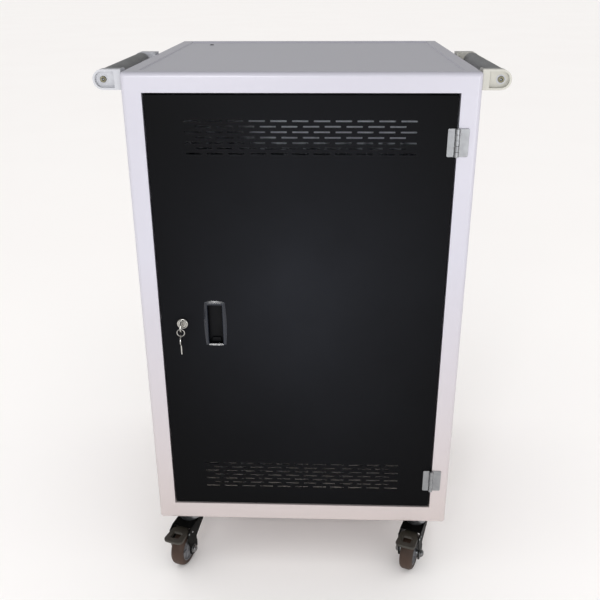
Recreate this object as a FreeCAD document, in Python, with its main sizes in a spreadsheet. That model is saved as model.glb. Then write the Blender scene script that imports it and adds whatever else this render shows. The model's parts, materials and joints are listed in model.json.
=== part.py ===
import FreeCAD, Part
import os

import Sketcher

Vector = FreeCAD.Vector

doc = FreeCAD.newDocument("charging_cart")
sheet = doc.addObject("Spreadsheet::Sheet", "dims")

# Driving dimensions, in millimetres and degrees
DIMENSIONS = (
    # Cabinet
    ("cab_width", 610),
    ("cab_depth", 625),
    ("cab_height", 928),
    ("sheet_gauge", 1.2),
    ("side_border", 35),
    ("top_border", 34),
    ("bottom_border", 40),
    ("frame_depth", 14),
    ("jamb_depth", 22),
    ("edge_round", 8),
    ("corner_round", 5),
    ("panel_flange", 25),
    ("top_rim", 27),
    ("top_recess", 2),
    ("front_reach", 52),
    # Doors and vents
    ("door_gap", 3),
    ("door_depth", 18),
    ("door_round", 1.5),
    ("slot_length", 28.2),
    ("slot_height", 3),
    ("slot_pitch", 37.2),
    ("row_pitch", 9.4),
    ("slots_per_row", 11),
    ("vent_margin", 44),
    # Recessed pull
    ("pull_inset", 103.4),
    ("pull_width", 43.5),
    ("pull_height", 94.5),
    ("pull_bulge", 2.5),
    ("pull_rise", 3),
    ("recess_width", 27),
    ("recess_height", 81),
    ("recess_drop", 2),
    ("recess_depth", 12),
    ("pull_wall", 1.6),
    ("pull_clearance", 0.2),
    # Cam lock and keys
    ("lock_inset", 40.5),
    ("lock_height", 464),
    ("lock_face_radius", 11),
    ("lock_face_rise", 5),
    ("lock_bevel", 1.5),
    ("lock_body_radius", 9.5),
    ("lock_body_length", 17),
    ("plug_radius", 6.5),
    ("cam_clearance", 1),
    ("cam_gauge", 3),
    ("cam_width", 16),
    ("cam_length", 58),
    ("cam_stud_radius", 3),
    ("stud_head_radius", 5),
    ("stud_head_rise", 2),
    ("key_gauge", 2),
    ("key_blade_height", 8),
    ("key_blade_length", 15),
    ("key_stand", 3),
    ("key_bow_radius", 10.5),
    ("key_hole_radius", 2.75),
    ("key_hole_offset", 6.5),
    ("keyway_clearance", 0.15),
    ("ring_radius", 7.1),
    ("ring_wire_radius", 0.9),
    ("ring_slack", 0.25),
    ("running_clearance", 0.05),
    # Hinges
    ("hinge_height", 49),
    ("hinge_leaf", 20),
    ("hinge_door_leaf", 16.5),
    ("hinge_gauge", 1.6),
    ("knuckle_radius", 4),
    ("knuckle_clearance", 0.5),
    ("knuckle_axial_gap", 0.3),
    ("hinge_pin_radius", 2),
    ("hinge_pin_tip", 0.8),
    ("hinge_top_drop", 80),
    ("hinge_bottom_rise", 66),
    # Push handles
    ("handle_reach", 49),
    ("handle_height", 34),
    ("handle_rise", 3),
    ("handle_length", 318),
    ("handle_setback", 12),
    ("bracket_depth", 20),
    ("bracket_base", 5),
    ("bracket_base_length", 34),
    ("bracket_root", 12),
    ("bracket_rim", 3.5),
    ("bracket_recess", 8),
    ("grip_radius", 16),
    ("grip_wall", 2),
    ("boss_length", 10),
    ("bolt_radius", 3),
    ("bolt_head_radius", 5.5),
    ("bolt_head_rise", 3),
    ("washer_radius", 8),
    ("washer_gauge", 1),
    ("socket_radius", 2.5),
    ("socket_depth", 2),
    # Casters
    ("caster_height", 122),
    ("caster_setback", 42),
    ("caster_inset", 56),
    ("caster_lead", 37),
    ("swivel_front_left", 17.5),
    ("swivel_front_right", 21),
    ("swivel_rear_left", 14),
    ("swivel_rear_right", 11),
    ("plate_size", 56),
    ("plate_gauge", 3),
    ("plate_bolt_offset", 21),
    ("race_radius", 22),
    ("race_height", 21),
    ("race_gap", 0.5),
    ("kingpin_radius", 5),
    ("kingpin_head_radius", 9),
    ("kingpin_head_height", 3),
    ("crown_radius", 27),
    ("crown_gauge", 3),
    ("leg_gauge", 2.5),
    ("leg_clearance", 1.5),
    ("leg_top_front", 34),
    ("leg_top_rear", 20),
    ("leg_end_radius", 11),
    ("fork_spread", 6),
    ("wheel_radius", 40),
    ("wheel_width", 28),
    ("hub_radius", 29),
    ("hub_width", 26),
    ("hub_boss_radius", 9),
    ("hub_dish", 4),
    ("hub_rim", 3),
    ("tread_round", 9),
    ("axle_radius", 4),
    ("axle_head_radius", 7),
    ("axle_head_width", 4.5),
    ("caster_bolt_radius", 3),
    ("caster_bolt_head_radius", 5.5),
    ("caster_bolt_head_rise", 4),
    ("caster_nut_height", 5),
    ("bolt_clearance", 0.2),
    # Brake pedals
    ("pivot_setback", 28),
    ("pivot_height", 89.5),
    ("pivot_radius", 2),
    ("pivot_boss_radius", 4),
    ("pivot_rivet", 1),
    ("pedal_near", 44),
    ("pedal_tip", 87),
    ("pedal_gauge", 6.5),
    ("pedal_near_half", 20),
    ("pedal_tip_half", 22),
    ("pedal_arm_half", 14),
    ("pedal_hole_half", 9),
    ("pedal_hole_near", 56),
    ("pedal_hole_far", 74),
    # Shelves, dividers and partitions
    ("shelf_setback", 34),
    ("shelf_flange", 20),
    ("tier_height", 427),
    ("bay_count", 12),
    ("bay_pitch", 43.5),
    ("divider_gauge", 2),
    ("divider_depth", 385),
    ("divider_height", 260),
    ("divider_setback", 8),
    ("divider_round", 40),
    ("partition_setback", 440),
    ("partition_height", 380),
    ("partition_side_gap", 2),
    # Power
    ("strip_length", 500),
    ("strip_depth", 45),
    ("strip_height", 50),
    ("strip_rise", 120),
    ("outlet_count", 12),
    ("outlet_pitch", 40),
    ("outlet_size", 30),
    ("outlet_recess", 3),
    ("pin_slot_length", 7),
    ("pin_slot_width", 2.4),
    ("pin_slot_depth", 12),
    ("pin_slot_offset", 8),
    ("cable_radius", 4),
    ("cable_bend", 20),
    ("cable_place", 225),
    ("cable_hole_clearance", 2),
    ("inlet_from_rear", 95),
    ("inlet_above_base", 95),
    ("inlet_length", 64),
    ("inlet_height", 32),
    ("inlet_flange", 3),
    ("inlet_lip", 3),
    ("inlet_body_depth", 30),
    ("inlet_fit", 0.3),
    ("socket_length", 24),
    ("socket_width", 17),
    ("socket_reach", 20),
    ("socket_place", 15),
    ("pin_length", 13),
    ("pin_height", 6),
    ("pin_gauge", 2),
    ("pin_spread", 7),
    ("rocker_place", 16),
    ("rocker_width", 13),
    ("rocker_length", 19),
    ("rocker_radius", 11),
    ("rocker_depth", 8),
    ("rocker_play", 1.4),
    ("rocker_side_play", 0.4),
)


class Size:
    """A length that carries both its value and its spreadsheet expression."""

    def __init__(self, value, text):
        self.value = value
        self.text = text

    def __add__(self, other):
        other = as_size(other)
        return Size(self.value + other.value, f"({self.text} + {other.text})")

    def __sub__(self, other):
        other = as_size(other)
        return Size(self.value - other.value, f"({self.text} - {other.text})")

    def __mul__(self, other):
        other = as_size(other)
        return Size(self.value * other.value, f"({self.text} * {other.text})")

    def __truediv__(self, other):
        other = as_size(other)
        return Size(self.value / other.value, f"({self.text} / {other.text})")

    def __neg__(self):
        return Size(-self.value, f"(-{self.text})")

    __radd__ = __add__
    __rmul__ = __mul__

    def __rsub__(self, other):
        return as_size(other) - self


class Dimensions:
    """The driving dimensions, each under its own name."""


def as_size(number):
    if isinstance(number, Size):
        return number
    return Size(number, f"({number})")


d = Dimensions()
for row, (name, value) in enumerate(DIMENSIONS, 1):
    sheet.set(f"A{row}", str(value))
    sheet.setAlias(f"A{row}", name)
doc.recompute()
for name, value in DIMENSIONS:
    setattr(d, name, Size(sheet.get(name), f"dims.{name}"))

# How far a cutting piece runs past the face it cuts through
PAST = 1

X_AXIS = Vector(1, 0, 0)
Y_AXIS = Vector(0, 1, 0)
Z_AXIS = Vector(0, 0, 1)
LENGTHWISE = {"x": (Y_AXIS, 90), "y": (X_AXIS, -90), "z": None}
PIECES = {}


# Document helpers: primitives, booleans and placed copies

def tie(obj, prop, size):
    obj.setExpression(prop, as_size(size).text)


def place(obj, x, y, z, turn=None):
    if turn:
        axis, angle = turn
        angle = as_size(angle)
        obj.Placement = FreeCAD.Placement(Vector(), FreeCAD.Rotation(axis, angle.value))
        tie(obj, "Placement.Rotation.Angle", angle)
    for letter, size in zip("xyz", (x, y, z)):
        tie(obj, f"Placement.Base.{letter}", size)
    return obj


def box(x0, x1, y0, y1, z0, z1):
    obj = doc.addObject("Part::Box", "box")
    tie(obj, "Length", as_size(x1) - x0)
    tie(obj, "Width", as_size(y1) - y0)
    tie(obj, "Height", as_size(z1) - z0)
    return place(obj, x0, y0, z0)


def rod(along, x, y, z, radius, length):
    obj = doc.addObject("Part::Cylinder", "rod")
    tie(obj, "Radius", radius)
    tie(obj, "Height", length)
    return place(obj, x, y, z, LENGTHWISE[along])


def bevel(along, x, y, z, radius, end_radius, length):
    obj = doc.addObject("Part::Cone", "bevel")
    tie(obj, "Radius1", radius)
    tie(obj, "Radius2", end_radius)
    tie(obj, "Height", length)
    return place(obj, x, y, z, LENGTHWISE[along])


def hexagon(along, x, y, z, radius, length):
    obj = doc.addObject("Part::Prism", "hexagon")
    obj.Polygon = 6
    tie(obj, "Circumradius", radius)
    tie(obj, "Height", length)
    return place(obj, x, y, z, LENGTHWISE[along])


def fuse(*shapes):
    obj = doc.addObject("Part::MultiFuse", "fuse")
    obj.Shapes = list(shapes)
    obj.Refine = True
    return obj


def cut(base, *tools):
    obj = doc.addObject("Part::Cut", "cut")
    obj.Base = base
    obj.Tool = tools[0] if len(tools) == 1 else fuse(*tools)
    obj.Refine = False
    return obj


def common(first, second):
    obj = doc.addObject("Part::Common", "common")
    obj.Base = first
    obj.Tool = second
    return obj


def group(*shapes):
    obj = doc.addObject("Part::Compound", "group")
    obj.Links = list(shapes)
    return obj


def copy(source, x=0, y=0, z=0, turn=None):
    return place(group(source), x, y, z, turn)


def piece(label, obj):
    obj.Label = label
    PIECES[label] = obj
    return obj


# Sketch and feature helpers

def origin_item(body, role):
    return next(item for item in body.Origin.OriginFeatures if item.Role == role)


def new_sketch(body, role, shift=0):
    sketch = body.newObject("Sketcher::SketchObject", "sketch")
    sketch.AttachmentSupport = [(origin_item(body, role), "")]
    sketch.MapMode = "FlatFace"
    tie(sketch, "AttachmentOffset.Base.z", shift)
    return sketch


def hold(sketch, kind, geometry, point, size):
    size = as_size(size)
    index = sketch.addConstraint(Sketcher.Constraint(kind, -1, 1, geometry, point, size.value))
    tie(sketch, f"Constraints[{index}]", size)


def hold_radius(sketch, geometry, size):
    size = as_size(size)
    index = sketch.addConstraint(Sketcher.Constraint("Radius", geometry, size.value))
    tie(sketch, f"Constraints[{index}]", size)


def draw_rectangle(sketch, x0, y0, x1, y1):
    first = sketch.GeometryCount
    sides = [as_size(size) for size in (x0, y0, x1, y1)]
    left, low, right, high = [side.value for side in sides]
    corners = (Vector(left, low), Vector(right, low), Vector(right, high), Vector(left, high))
    for index in range(4):
        sketch.addGeometry(Part.LineSegment(corners[index], corners[(index + 1) % 4]))
    for index in range(4):
        following = first + (index + 1) % 4
        sketch.addConstraint(Sketcher.Constraint("Coincident", first + index, 2, following, 1))
        direction = "Vertical" if index % 2 else "Horizontal"
        sketch.addConstraint(Sketcher.Constraint(direction, first + index))
    hold(sketch, "DistanceX", first, 1, sides[0])
    hold(sketch, "DistanceY", first, 1, sides[1])
    hold(sketch, "DistanceX", first + 2, 1, sides[2])
    hold(sketch, "DistanceY", first + 2, 1, sides[3])


def draw_slot(sketch, x, y, length, height):
    radius = height / 2
    reach = length / 2 - radius
    left, right = (x - reach).value, (x + reach).value
    low, high = (y - radius).value, (y + radius).value
    sketch.addGeometry(Part.LineSegment(Vector(left, low), Vector(right, low)))
    tip = Vector(right + radius.value, y.value)
    sketch.addGeometry(Part.Arc(Vector(right, low), tip, Vector(right, high)))
    sketch.addGeometry(Part.LineSegment(Vector(right, high), Vector(left, high)))
    tip = Vector(left - radius.value, y.value)
    sketch.addGeometry(Part.Arc(Vector(left, high), tip, Vector(left, low)))
    for index in range(4):
        sketch.addConstraint(Sketcher.Constraint("Tangent", index, 2, (index + 1) % 4, 1))
    sketch.addConstraint(Sketcher.Constraint("Horizontal", 0))
    hold_radius(sketch, 1, radius)
    hold_radius(sketch, 3, radius)
    hold(sketch, "DistanceX", 1, 3, x + reach)
    hold(sketch, "DistanceY", 1, 3, y)
    hold(sketch, "DistanceX", 3, 3, x - reach)


def draw_bowed_rectangle(sketch, width, height, bulge):
    """Four arcs through the middle of each side of a rectangle, centred on the origin."""
    across = width / 2 - bulge
    upright = height / 2 - bulge
    corners = ((-across, -upright), (across, -upright), (across, upright), (-across, upright))
    middles = ((0, -height / 2), (width / 2, 0), (0, height / 2), (-width / 2, 0))
    points = [Vector(x.value, y.value) for x, y in corners]
    for index, (x, y) in enumerate(middles):
        middle = Vector(as_size(x).value, as_size(y).value)
        sketch.addGeometry(Part.Arc(points[index], middle, points[(index + 1) % 4]))
    for index, (x, y) in enumerate(corners):
        sketch.addConstraint(Sketcher.Constraint("Coincident", index, 2, (index + 1) % 4, 1))
        hold(sketch, "DistanceX", index, 1, x)
        hold(sketch, "DistanceY", index, 1, y)
        chord = upright if index % 2 else across
        hold_radius(sketch, index, (chord * chord + bulge * bulge) / (2 * bulge))


def pad(body, sketch, length, reverse=False):
    feature = body.newObject("PartDesign::Pad", "pad")
    feature.Profile = sketch
    feature.Reversed = reverse
    tie(feature, "Length", length)
    return feature


def pocket(body, sketch, depth, reverse=False):
    feature = body.newObject("PartDesign::Pocket", "pocket")
    feature.Profile = sketch
    feature.Reversed = reverse
    tie(feature, "Length", depth)
    return feature


def pattern(body, originals, role, extent, count):
    feature = body.newObject("PartDesign::LinearPattern", "pattern")
    feature.Originals = originals
    feature.Direction = (origin_item(body, role), [""])
    tie(feature, "Length", extent)
    tie(feature, "Occurrences", count)
    body.Tip = feature


def round_edges(body, radius, wanted):
    """Rounds the edges of the body's last feature for which the test holds."""
    doc.recompute()
    base = body.Tip
    edges = [f"Edge{index}" for index, edge in enumerate(base.Shape.Edges, 1) if wanted(edge.BoundBox)]
    feature = body.newObject("PartDesign::Fillet", "rounding")
    feature.Base = (base, edges)
    tie(feature, "Radius", radius)


def runs_along(letter):
    others = [other for other in "XYZ" if other != letter]

    def test(bounds):
        thin = all(getattr(bounds, other + "Length") < 1e-4 for other in others)
        return thin and getattr(bounds, letter + "Length") > 1e-4

    return test


def lies_at(letter, size):
    def test(bounds):
        low = getattr(bounds, letter + "Min") - as_size(size).value
        high = getattr(bounds, letter + "Max") - as_size(size).value
        return abs(low) < 1e-4 and abs(high) < 1e-4

    return test


def block(x0, x1, y0, y1, z0, z1):
    body = doc.addObject("PartDesign::Body", "block")
    sketch = new_sketch(body, "XZ_Plane", -as_size(y0))
    draw_rectangle(sketch, x0, z0, x1, z1)
    pad(body, sketch, as_size(y1) - y0, reverse=True)
    return body


# Shared places

gauge = d.sheet_gauge
half = d.cab_width / 2
front = (d.front_reach - d.cab_depth - 2 * d.knuckle_radius) / 2
rear = front + d.cab_depth
base = d.caster_height
top = base + d.cab_height
panel_front = front + d.frame_depth
panel_rear = rear - d.frame_depth
open_half = half - d.side_border
open_low = d.bottom_border
open_high = d.cab_height - d.top_border
door_half = open_half - d.door_gap
door_low = open_low + d.door_gap
door_high = open_high - d.door_gap
lower_level = base + d.bottom_border
upper_level = lower_level + d.tier_height
HALF_TURN = (Z_AXIS, 180)


# Front and rear frames: one bent sheet ring with a jamb around the doorway

def rounded_front(x0, x1, y0, y1, z0, z1, corner, edge):
    body = block(x0, x1, y0, y1, z0, z1)
    round_edges(body, corner, runs_along("Y"))
    round_edges(body, edge, lies_at("Y", y0))
    return body


frame_skin = rounded_front(-half, half, 0, d.frame_depth, 0, d.cab_height, d.corner_round, d.edge_round)
frame_hollow = rounded_front(
    gauge - half, half - gauge, gauge, d.frame_depth + PAST, gauge, d.cab_height - gauge,
    d.corner_round - gauge, d.edge_round - gauge)
jamb = box(-open_half - gauge, open_half + gauge, 0, d.jamb_depth, open_low - gauge, open_high + gauge)
doorway = box(-open_half, open_half, -PAST, d.jamb_depth + PAST, open_low, open_high)
frame = cut(fuse(cut(frame_skin, frame_hollow), jamb), doorway)
piece("front_frame", copy(frame, 0, front, base))
piece("rear_frame", copy(frame, 0, rear, base, HALF_TURN))

# Side, top and base panels between the frames

side_low = base + d.panel_flange
side_high = top - d.panel_flange
piece("left_side_panel", box(-half, gauge - half, panel_front, panel_rear, side_low, side_high))

inlet_y = rear - d.inlet_from_rear
inlet_z = base + d.inlet_above_base
inlet_half = d.inlet_length / 2 - d.inlet_lip
inlet_rise = d.inlet_height / 2 - d.inlet_lip
inlet_window = box(
    half - gauge - PAST, half + PAST,
    inlet_y - inlet_half - d.inlet_fit, inlet_y + inlet_half + d.inlet_fit,
    inlet_z - inlet_rise - d.inlet_fit, inlet_z + inlet_rise + d.inlet_fit)
right_sheet = box(half - gauge, half, panel_front, panel_rear, side_low, side_high)
piece("right_side_panel", cut(right_sheet, inlet_window))


def channel():
    """A sheet with a flange turned down along each side, bent round."""
    skin = block(-half, half, panel_front, panel_rear, -d.panel_flange, 0)
    hollow = block(
        gauge - half, half - gauge, panel_front - PAST, panel_rear + PAST, -d.panel_flange - PAST, -gauge)
    for body, radius, level in ((skin, d.corner_round, as_size(0)), (hollow, d.corner_round - gauge, -gauge)):
        upper = lies_at("Z", level)
        along = runs_along("Y")
        round_edges(body, radius, lambda bounds: along(bounds) and upper(bounds))
    return cut(skin, hollow)


tray_half = half - d.top_rim
tray_front = front + d.top_rim
tray_rear = rear - d.top_rim
tray = box(
    -tray_half - gauge, tray_half + gauge, tray_front - gauge, tray_rear + gauge,
    -d.top_recess - gauge, -gauge)
tray_space = box(-tray_half, tray_half, tray_front, tray_rear, -d.top_recess, PAST)
piece("top_panel", copy(cut(fuse(channel(), tray), tray_space), 0, 0, top))

caster_x = half - d.caster_inset
caster_front = front + d.caster_setback
caster_rear = rear - d.caster_setback
CASTER_PLACES = {
    "front_left": (-caster_x, caster_front, d.swivel_front_left),
    "front_right": (caster_x, caster_front, d.swivel_front_right),
    "rear_left": (-caster_x, caster_rear, d.swivel_rear_left),
    "rear_right": (caster_x, caster_rear, d.swivel_rear_right),
}
BOLT_CORNERS = ((-1, -1), (1, -1), (1, 1), (-1, 1))
caster_bolt_places = [
    (x + across * d.plate_bolt_offset, y + along * d.plate_bolt_offset)
    for x, y, swivel in CASTER_PLACES.values()
    for across, along in BOLT_CORNERS
]
bolt_hole_radius = d.caster_bolt_radius + d.bolt_clearance
base_holes = [
    rod("z", x, y, base - PAST, bolt_hole_radius, gauge + 2 * PAST) for x, y in caster_bolt_places
]
base_sheet = copy(channel(), 0, front + rear, base, (X_AXIS, 180))
piece("base_panel", cut(base_sheet, *base_holes))

# Shelves, dividers and partitions

shelf_front = front + d.shelf_setback
shelf_rear = rear - d.shelf_setback
shelf_half = half - gauge
partition_rear = front + d.partition_setback + gauge
strip_middle = partition_rear + d.strip_depth / 2


def shelf(level):
    sheet_top = box(-shelf_half, shelf_half, shelf_front, shelf_rear, level - d.shelf_flange, level)
    under = box(
        gauge - shelf_half, shelf_half - gauge, shelf_front + gauge, shelf_rear - gauge,
        level - d.shelf_flange - PAST, level - gauge)
    return cut(sheet_top, under)


cable_hole = rod(
    "z", d.cable_place, strip_middle, upper_level - gauge - PAST,
    d.cable_radius + d.cable_hole_clearance, gauge + 2 * PAST)
piece("lower_shelf", shelf(lower_level))
piece("upper_shelf", cut(shelf(upper_level), cable_hole))

dividers = doc.addObject("PartDesign::Body", "dividers")
divider_front = shelf_front + d.divider_setback
divider_sketch = new_sketch(dividers, "YZ_Plane", -(d.bay_count * d.bay_pitch + d.divider_gauge) / 2)
draw_rectangle(divider_sketch, divider_front, 0, divider_front + d.divider_depth, d.divider_height)
divider_plate = pad(dividers, divider_sketch, d.divider_gauge)
corner_sketch = new_sketch(dividers, "YZ_Plane", -(d.bay_count * d.bay_pitch + d.divider_gauge) / 2 - PAST)
corner_y = divider_front + d.divider_round
corner_z = d.divider_height - d.divider_round
corner_start = Vector(divider_front.value, corner_z.value)
corner_end = Vector(corner_y.value, d.divider_height.value)
corner_middle = Vector(corner_y.value, corner_z.value) + Vector(-1, 1).normalize() * d.divider_round.value
corner_point = Vector(divider_front.value, d.divider_height.value)
corner_sketch.addGeometry(Part.Arc(corner_end, corner_middle, corner_start))
corner_sketch.addGeometry(Part.LineSegment(corner_start, corner_point))
corner_sketch.addGeometry(Part.LineSegment(corner_point, corner_end))
corner_sketch.addConstraint(Sketcher.Constraint("Tangent", 0, 2, 1, 1))
corner_sketch.addConstraint(Sketcher.Constraint("Coincident", 1, 2, 2, 1))
corner_sketch.addConstraint(Sketcher.Constraint("Tangent", 2, 2, 0, 1))
corner_sketch.addConstraint(Sketcher.Constraint("Vertical", 1))
corner_sketch.addConstraint(Sketcher.Constraint("Horizontal", 2))
hold_radius(corner_sketch, 0, d.divider_round)
hold(corner_sketch, "DistanceX", 1, 2, divider_front)
hold(corner_sketch, "DistanceY", 1, 2, d.divider_height)
divider_corner = pocket(dividers, corner_sketch, d.divider_gauge + 2 * PAST, reverse=True)
pattern(dividers, [divider_plate, divider_corner], "X_Axis", d.bay_count * d.bay_pitch, d.bay_count + 1)
piece("lower_dividers", copy(dividers, 0, 0, lower_level))
piece("upper_dividers", copy(dividers, 0, 0, upper_level))

partition_half = shelf_half - d.partition_side_gap
partition_front = front + d.partition_setback
partitions = [
    box(-partition_half, partition_half, partition_front, partition_rear, level, level + d.partition_height)
    for level in (lower_level, upper_level)
]
piece("partition_panels", group(*partitions))

# Power strips, cables, inlet and switch

strip = block(-d.strip_length / 2, d.strip_length / 2, 0, d.strip_depth, 0, d.strip_height)
outlet_x = -(d.outlet_count - 1) * d.outlet_pitch / 2
outlet_z = d.strip_height / 2
face_sketch = new_sketch(strip, "XZ_Plane", -d.strip_depth)
outlet_half = d.outlet_size / 2
draw_rectangle(
    face_sketch, outlet_x - outlet_half, outlet_z - outlet_half, outlet_x + outlet_half, outlet_z + outlet_half)
outlet_face = pocket(strip, face_sketch, d.outlet_recess, reverse=True)
slot_sketch = new_sketch(strip, "XZ_Plane", -d.strip_depth)
slot_reach = d.pin_slot_length / 2
slot_wide = d.pin_slot_width / 2
for across, upward in ((-1, -0.5), (1, -0.5), (0, 1)):
    slot_x = outlet_x + across * d.pin_slot_offset
    slot_z = outlet_z + upward * d.pin_slot_offset
    draw_rectangle(slot_sketch, slot_x - slot_wide, slot_z - slot_reach, slot_x + slot_wide, slot_z + slot_reach)
outlet_slots = pocket(strip, slot_sketch, d.pin_slot_depth, reverse=True)
outlet_extent = (d.outlet_count - 1) * d.outlet_pitch
pattern(strip, [outlet_face, outlet_slots], "X_Axis", outlet_extent, d.outlet_count)
lower_strip = lower_level + d.strip_rise
upper_strip = upper_level + d.strip_rise
piece("lower_power_strip", copy(strip, 0, partition_rear, lower_strip))
piece("upper_power_strip", copy(strip, 0, partition_rear, upper_strip))


def hose(points, bend, radius):
    """A round cable along straight runs with a tangent arc at each inner point."""
    corners = [Vector(*[as_size(size).value for size in point]) for point in points]
    edges = []
    start = corners[0]
    for before, corner, after in zip(corners, corners[1:], corners[2:]):
        arrive = (corner - before).normalize()
        leave = (after - corner).normalize()
        enter = corner - arrive * bend.value
        leave_at = corner + leave * bend.value
        centre = enter + leave * bend.value
        middle = centre + (corner - centre).normalize() * bend.value
        edges.append(Part.makeLine(start, enter))
        edges.append(Part.Arc(enter, middle, leave_at).toShape())
        start = leave_at
    edges.append(Part.makeLine(start, corners[-1]))
    spine = Part.Wire(edges)
    ring = Part.Wire(Part.makeCircle(radius.value, corners[0], corners[1] - corners[0]))
    obj = doc.addObject("Part::Feature", "hose")
    obj.Shape = spine.makePipeShell([ring], True, True)
    return obj


inlet_back = half - d.inlet_body_depth
feed = hose(
    (
        (inlet_back, inlet_y, inlet_z),
        (d.cable_place, inlet_y, inlet_z),
        (d.cable_place, strip_middle, inlet_z),
        (d.cable_place, strip_middle, lower_strip),
    ),
    d.cable_bend, d.cable_radius)
lower_strip_top = lower_strip + d.strip_height
link = rod("z", d.cable_place, strip_middle, lower_strip_top, d.cable_radius, upper_strip - lower_strip_top)
piece("supply_cables", group(feed, link))

inlet_flange = box(
    0, d.inlet_flange, -d.inlet_length / 2, d.inlet_length / 2, -d.inlet_height / 2, d.inlet_height / 2)
inlet_body = box(-d.inlet_body_depth, 0, -inlet_half, inlet_half, -inlet_rise, inlet_rise)
socket_floor = d.inlet_flange - d.socket_reach
socket_space = box(
    socket_floor, d.inlet_flange + PAST,
    -d.socket_place - d.socket_length / 2, -d.socket_place + d.socket_length / 2,
    -d.socket_width / 2, d.socket_width / 2)
rocker_axis = d.inlet_flange - d.rocker_radius
rocker_half = d.rocker_width / 2
rocker_space = box(
    rocker_axis - d.rocker_depth, d.inlet_flange + PAST,
    d.rocker_place - rocker_half - d.rocker_side_play, d.rocker_place + rocker_half + d.rocker_side_play,
    -d.rocker_length / 2 - d.rocker_play, d.rocker_length / 2 + d.rocker_play)
pins = [
    box(
        socket_floor, socket_floor + d.pin_length,
        -d.socket_place + across * d.pin_spread - d.pin_gauge / 2,
        -d.socket_place + across * d.pin_spread + d.pin_gauge / 2,
        upward - d.pin_height / 2, upward + d.pin_height / 2)
    for across, upward in ((-1, 1.5), (0, -1.5), (1, 1.5))
]
inlet_shell = cut(fuse(inlet_flange, inlet_body), socket_space, rocker_space)
piece("power_inlet", copy(fuse(inlet_shell, *pins), half, inlet_y, inlet_z))
rocker = common(
    rod("y", rocker_axis, d.rocker_place - rocker_half, 0, d.rocker_radius, d.rocker_width),
    box(
        rocker_axis, d.inlet_flange + PAST,
        d.rocker_place - rocker_half - PAST, d.rocker_place + rocker_half + PAST,
        -d.rocker_length / 2, d.rocker_length / 2))
piece("power_switch", copy(rocker, half, inlet_y, inlet_z))

# Doors: one vented tray, drawn once, with the cut-outs of each door

door_tray = block(-door_half, door_half, 0, d.door_depth, door_low, door_high)
round_edges(door_tray, d.door_round, lies_at("Y", 0))
inside_sketch = new_sketch(door_tray, "XZ_Plane", -d.door_depth)
draw_rectangle(inside_sketch, gauge - door_half, door_low + gauge, door_half - gauge, door_high - gauge)
pocket(door_tray, inside_sketch, d.door_depth - gauge, reverse=True)


def slot_row(count):
    body = doc.addObject("PartDesign::Body", "slot_row")
    extent = (count - 1) * d.slot_pitch
    sketch = new_sketch(body, "XZ_Plane", PAST)
    draw_slot(sketch, -extent / 2, as_size(0), d.slot_length, d.slot_height)
    slot = pad(body, sketch, gauge + 2 * PAST, reverse=True)
    pattern(body, [slot], "X_Axis", extent, count)
    return body


long_row = slot_row(d.slots_per_row)
short_row = slot_row(d.slots_per_row - 1)
ROWS = 7
vent_rows = []
for row in range(ROWS):
    source = short_row if row % 2 else long_row
    inset = d.vent_margin + row * d.row_pitch
    vent_rows.append(copy(source, 0, 0, door_low + inset))
    vent_rows.append(copy(source, 0, 0, door_high - inset))

lock_x = -door_half + d.lock_inset
pull_x = -door_half + d.pull_inset
lock_hole = rod("y", lock_x, -PAST, d.lock_height, d.lock_body_radius + d.running_clearance, gauge + 2 * PAST)
cup_half = d.recess_width / 2 + d.pull_wall
cup_rise = d.recess_height / 2 + d.pull_wall
cup_z = d.lock_height - d.recess_drop
pull_window = box(
    pull_x - cup_half - d.pull_clearance, pull_x + cup_half + d.pull_clearance, -PAST, gauge + PAST,
    cup_z - cup_rise - d.pull_clearance, cup_z + cup_rise + d.pull_clearance)
front_cuts = group(*vent_rows, lock_hole, pull_window)
rear_cuts = group(*vent_rows, lock_hole)
piece("front_door", copy(cut(door_tray, front_cuts), 0, front, base))
piece("rear_door", copy(cut(door_tray, rear_cuts), 0, rear, base, HALF_TURN))

pull = doc.addObject("PartDesign::Body", "pull")
rim_sketch = new_sketch(pull, "XZ_Plane")
draw_bowed_rectangle(rim_sketch, d.pull_width, d.pull_height, d.pull_bulge)
pad(pull, rim_sketch, d.pull_rise)
cup_sketch = new_sketch(pull, "XZ_Plane")
draw_rectangle(cup_sketch, -cup_half, -cup_rise - d.recess_drop, cup_half, cup_rise - d.recess_drop)
pad(pull, cup_sketch, d.recess_depth + d.pull_wall, reverse=True)
hollow_sketch = new_sketch(pull, "XZ_Plane", d.pull_rise)
draw_rectangle(
    hollow_sketch, -d.recess_width / 2, -d.recess_height / 2 - d.recess_drop,
    d.recess_width / 2, d.recess_height / 2 - d.recess_drop)
pocket(pull, hollow_sketch, d.pull_rise + d.recess_depth)
piece("door_pull", copy(pull, pull_x, front, base + d.lock_height))

# Cam locks, drawn about the lock axis with the door's face at y = 0

face_y = -d.lock_face_rise
cam_y = d.jamb_depth + d.cam_clearance
stud_end = cam_y + d.cam_gauge
lock_flange = fuse(
    bevel("y", 0, face_y, 0, d.lock_face_radius - d.lock_bevel, d.lock_face_radius, d.lock_bevel),
    rod("y", 0, face_y + d.lock_bevel, 0, d.lock_face_radius, d.lock_face_rise - d.lock_bevel),
    rod("y", 0, 0, 0, d.lock_body_radius, d.lock_body_length))
plug_bore = rod(
    "y", 0, face_y - PAST, 0, d.plug_radius + d.running_clearance,
    d.lock_face_rise + d.lock_body_length + 2 * PAST)
lock_housing = cut(lock_flange, plug_bore)

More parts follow.
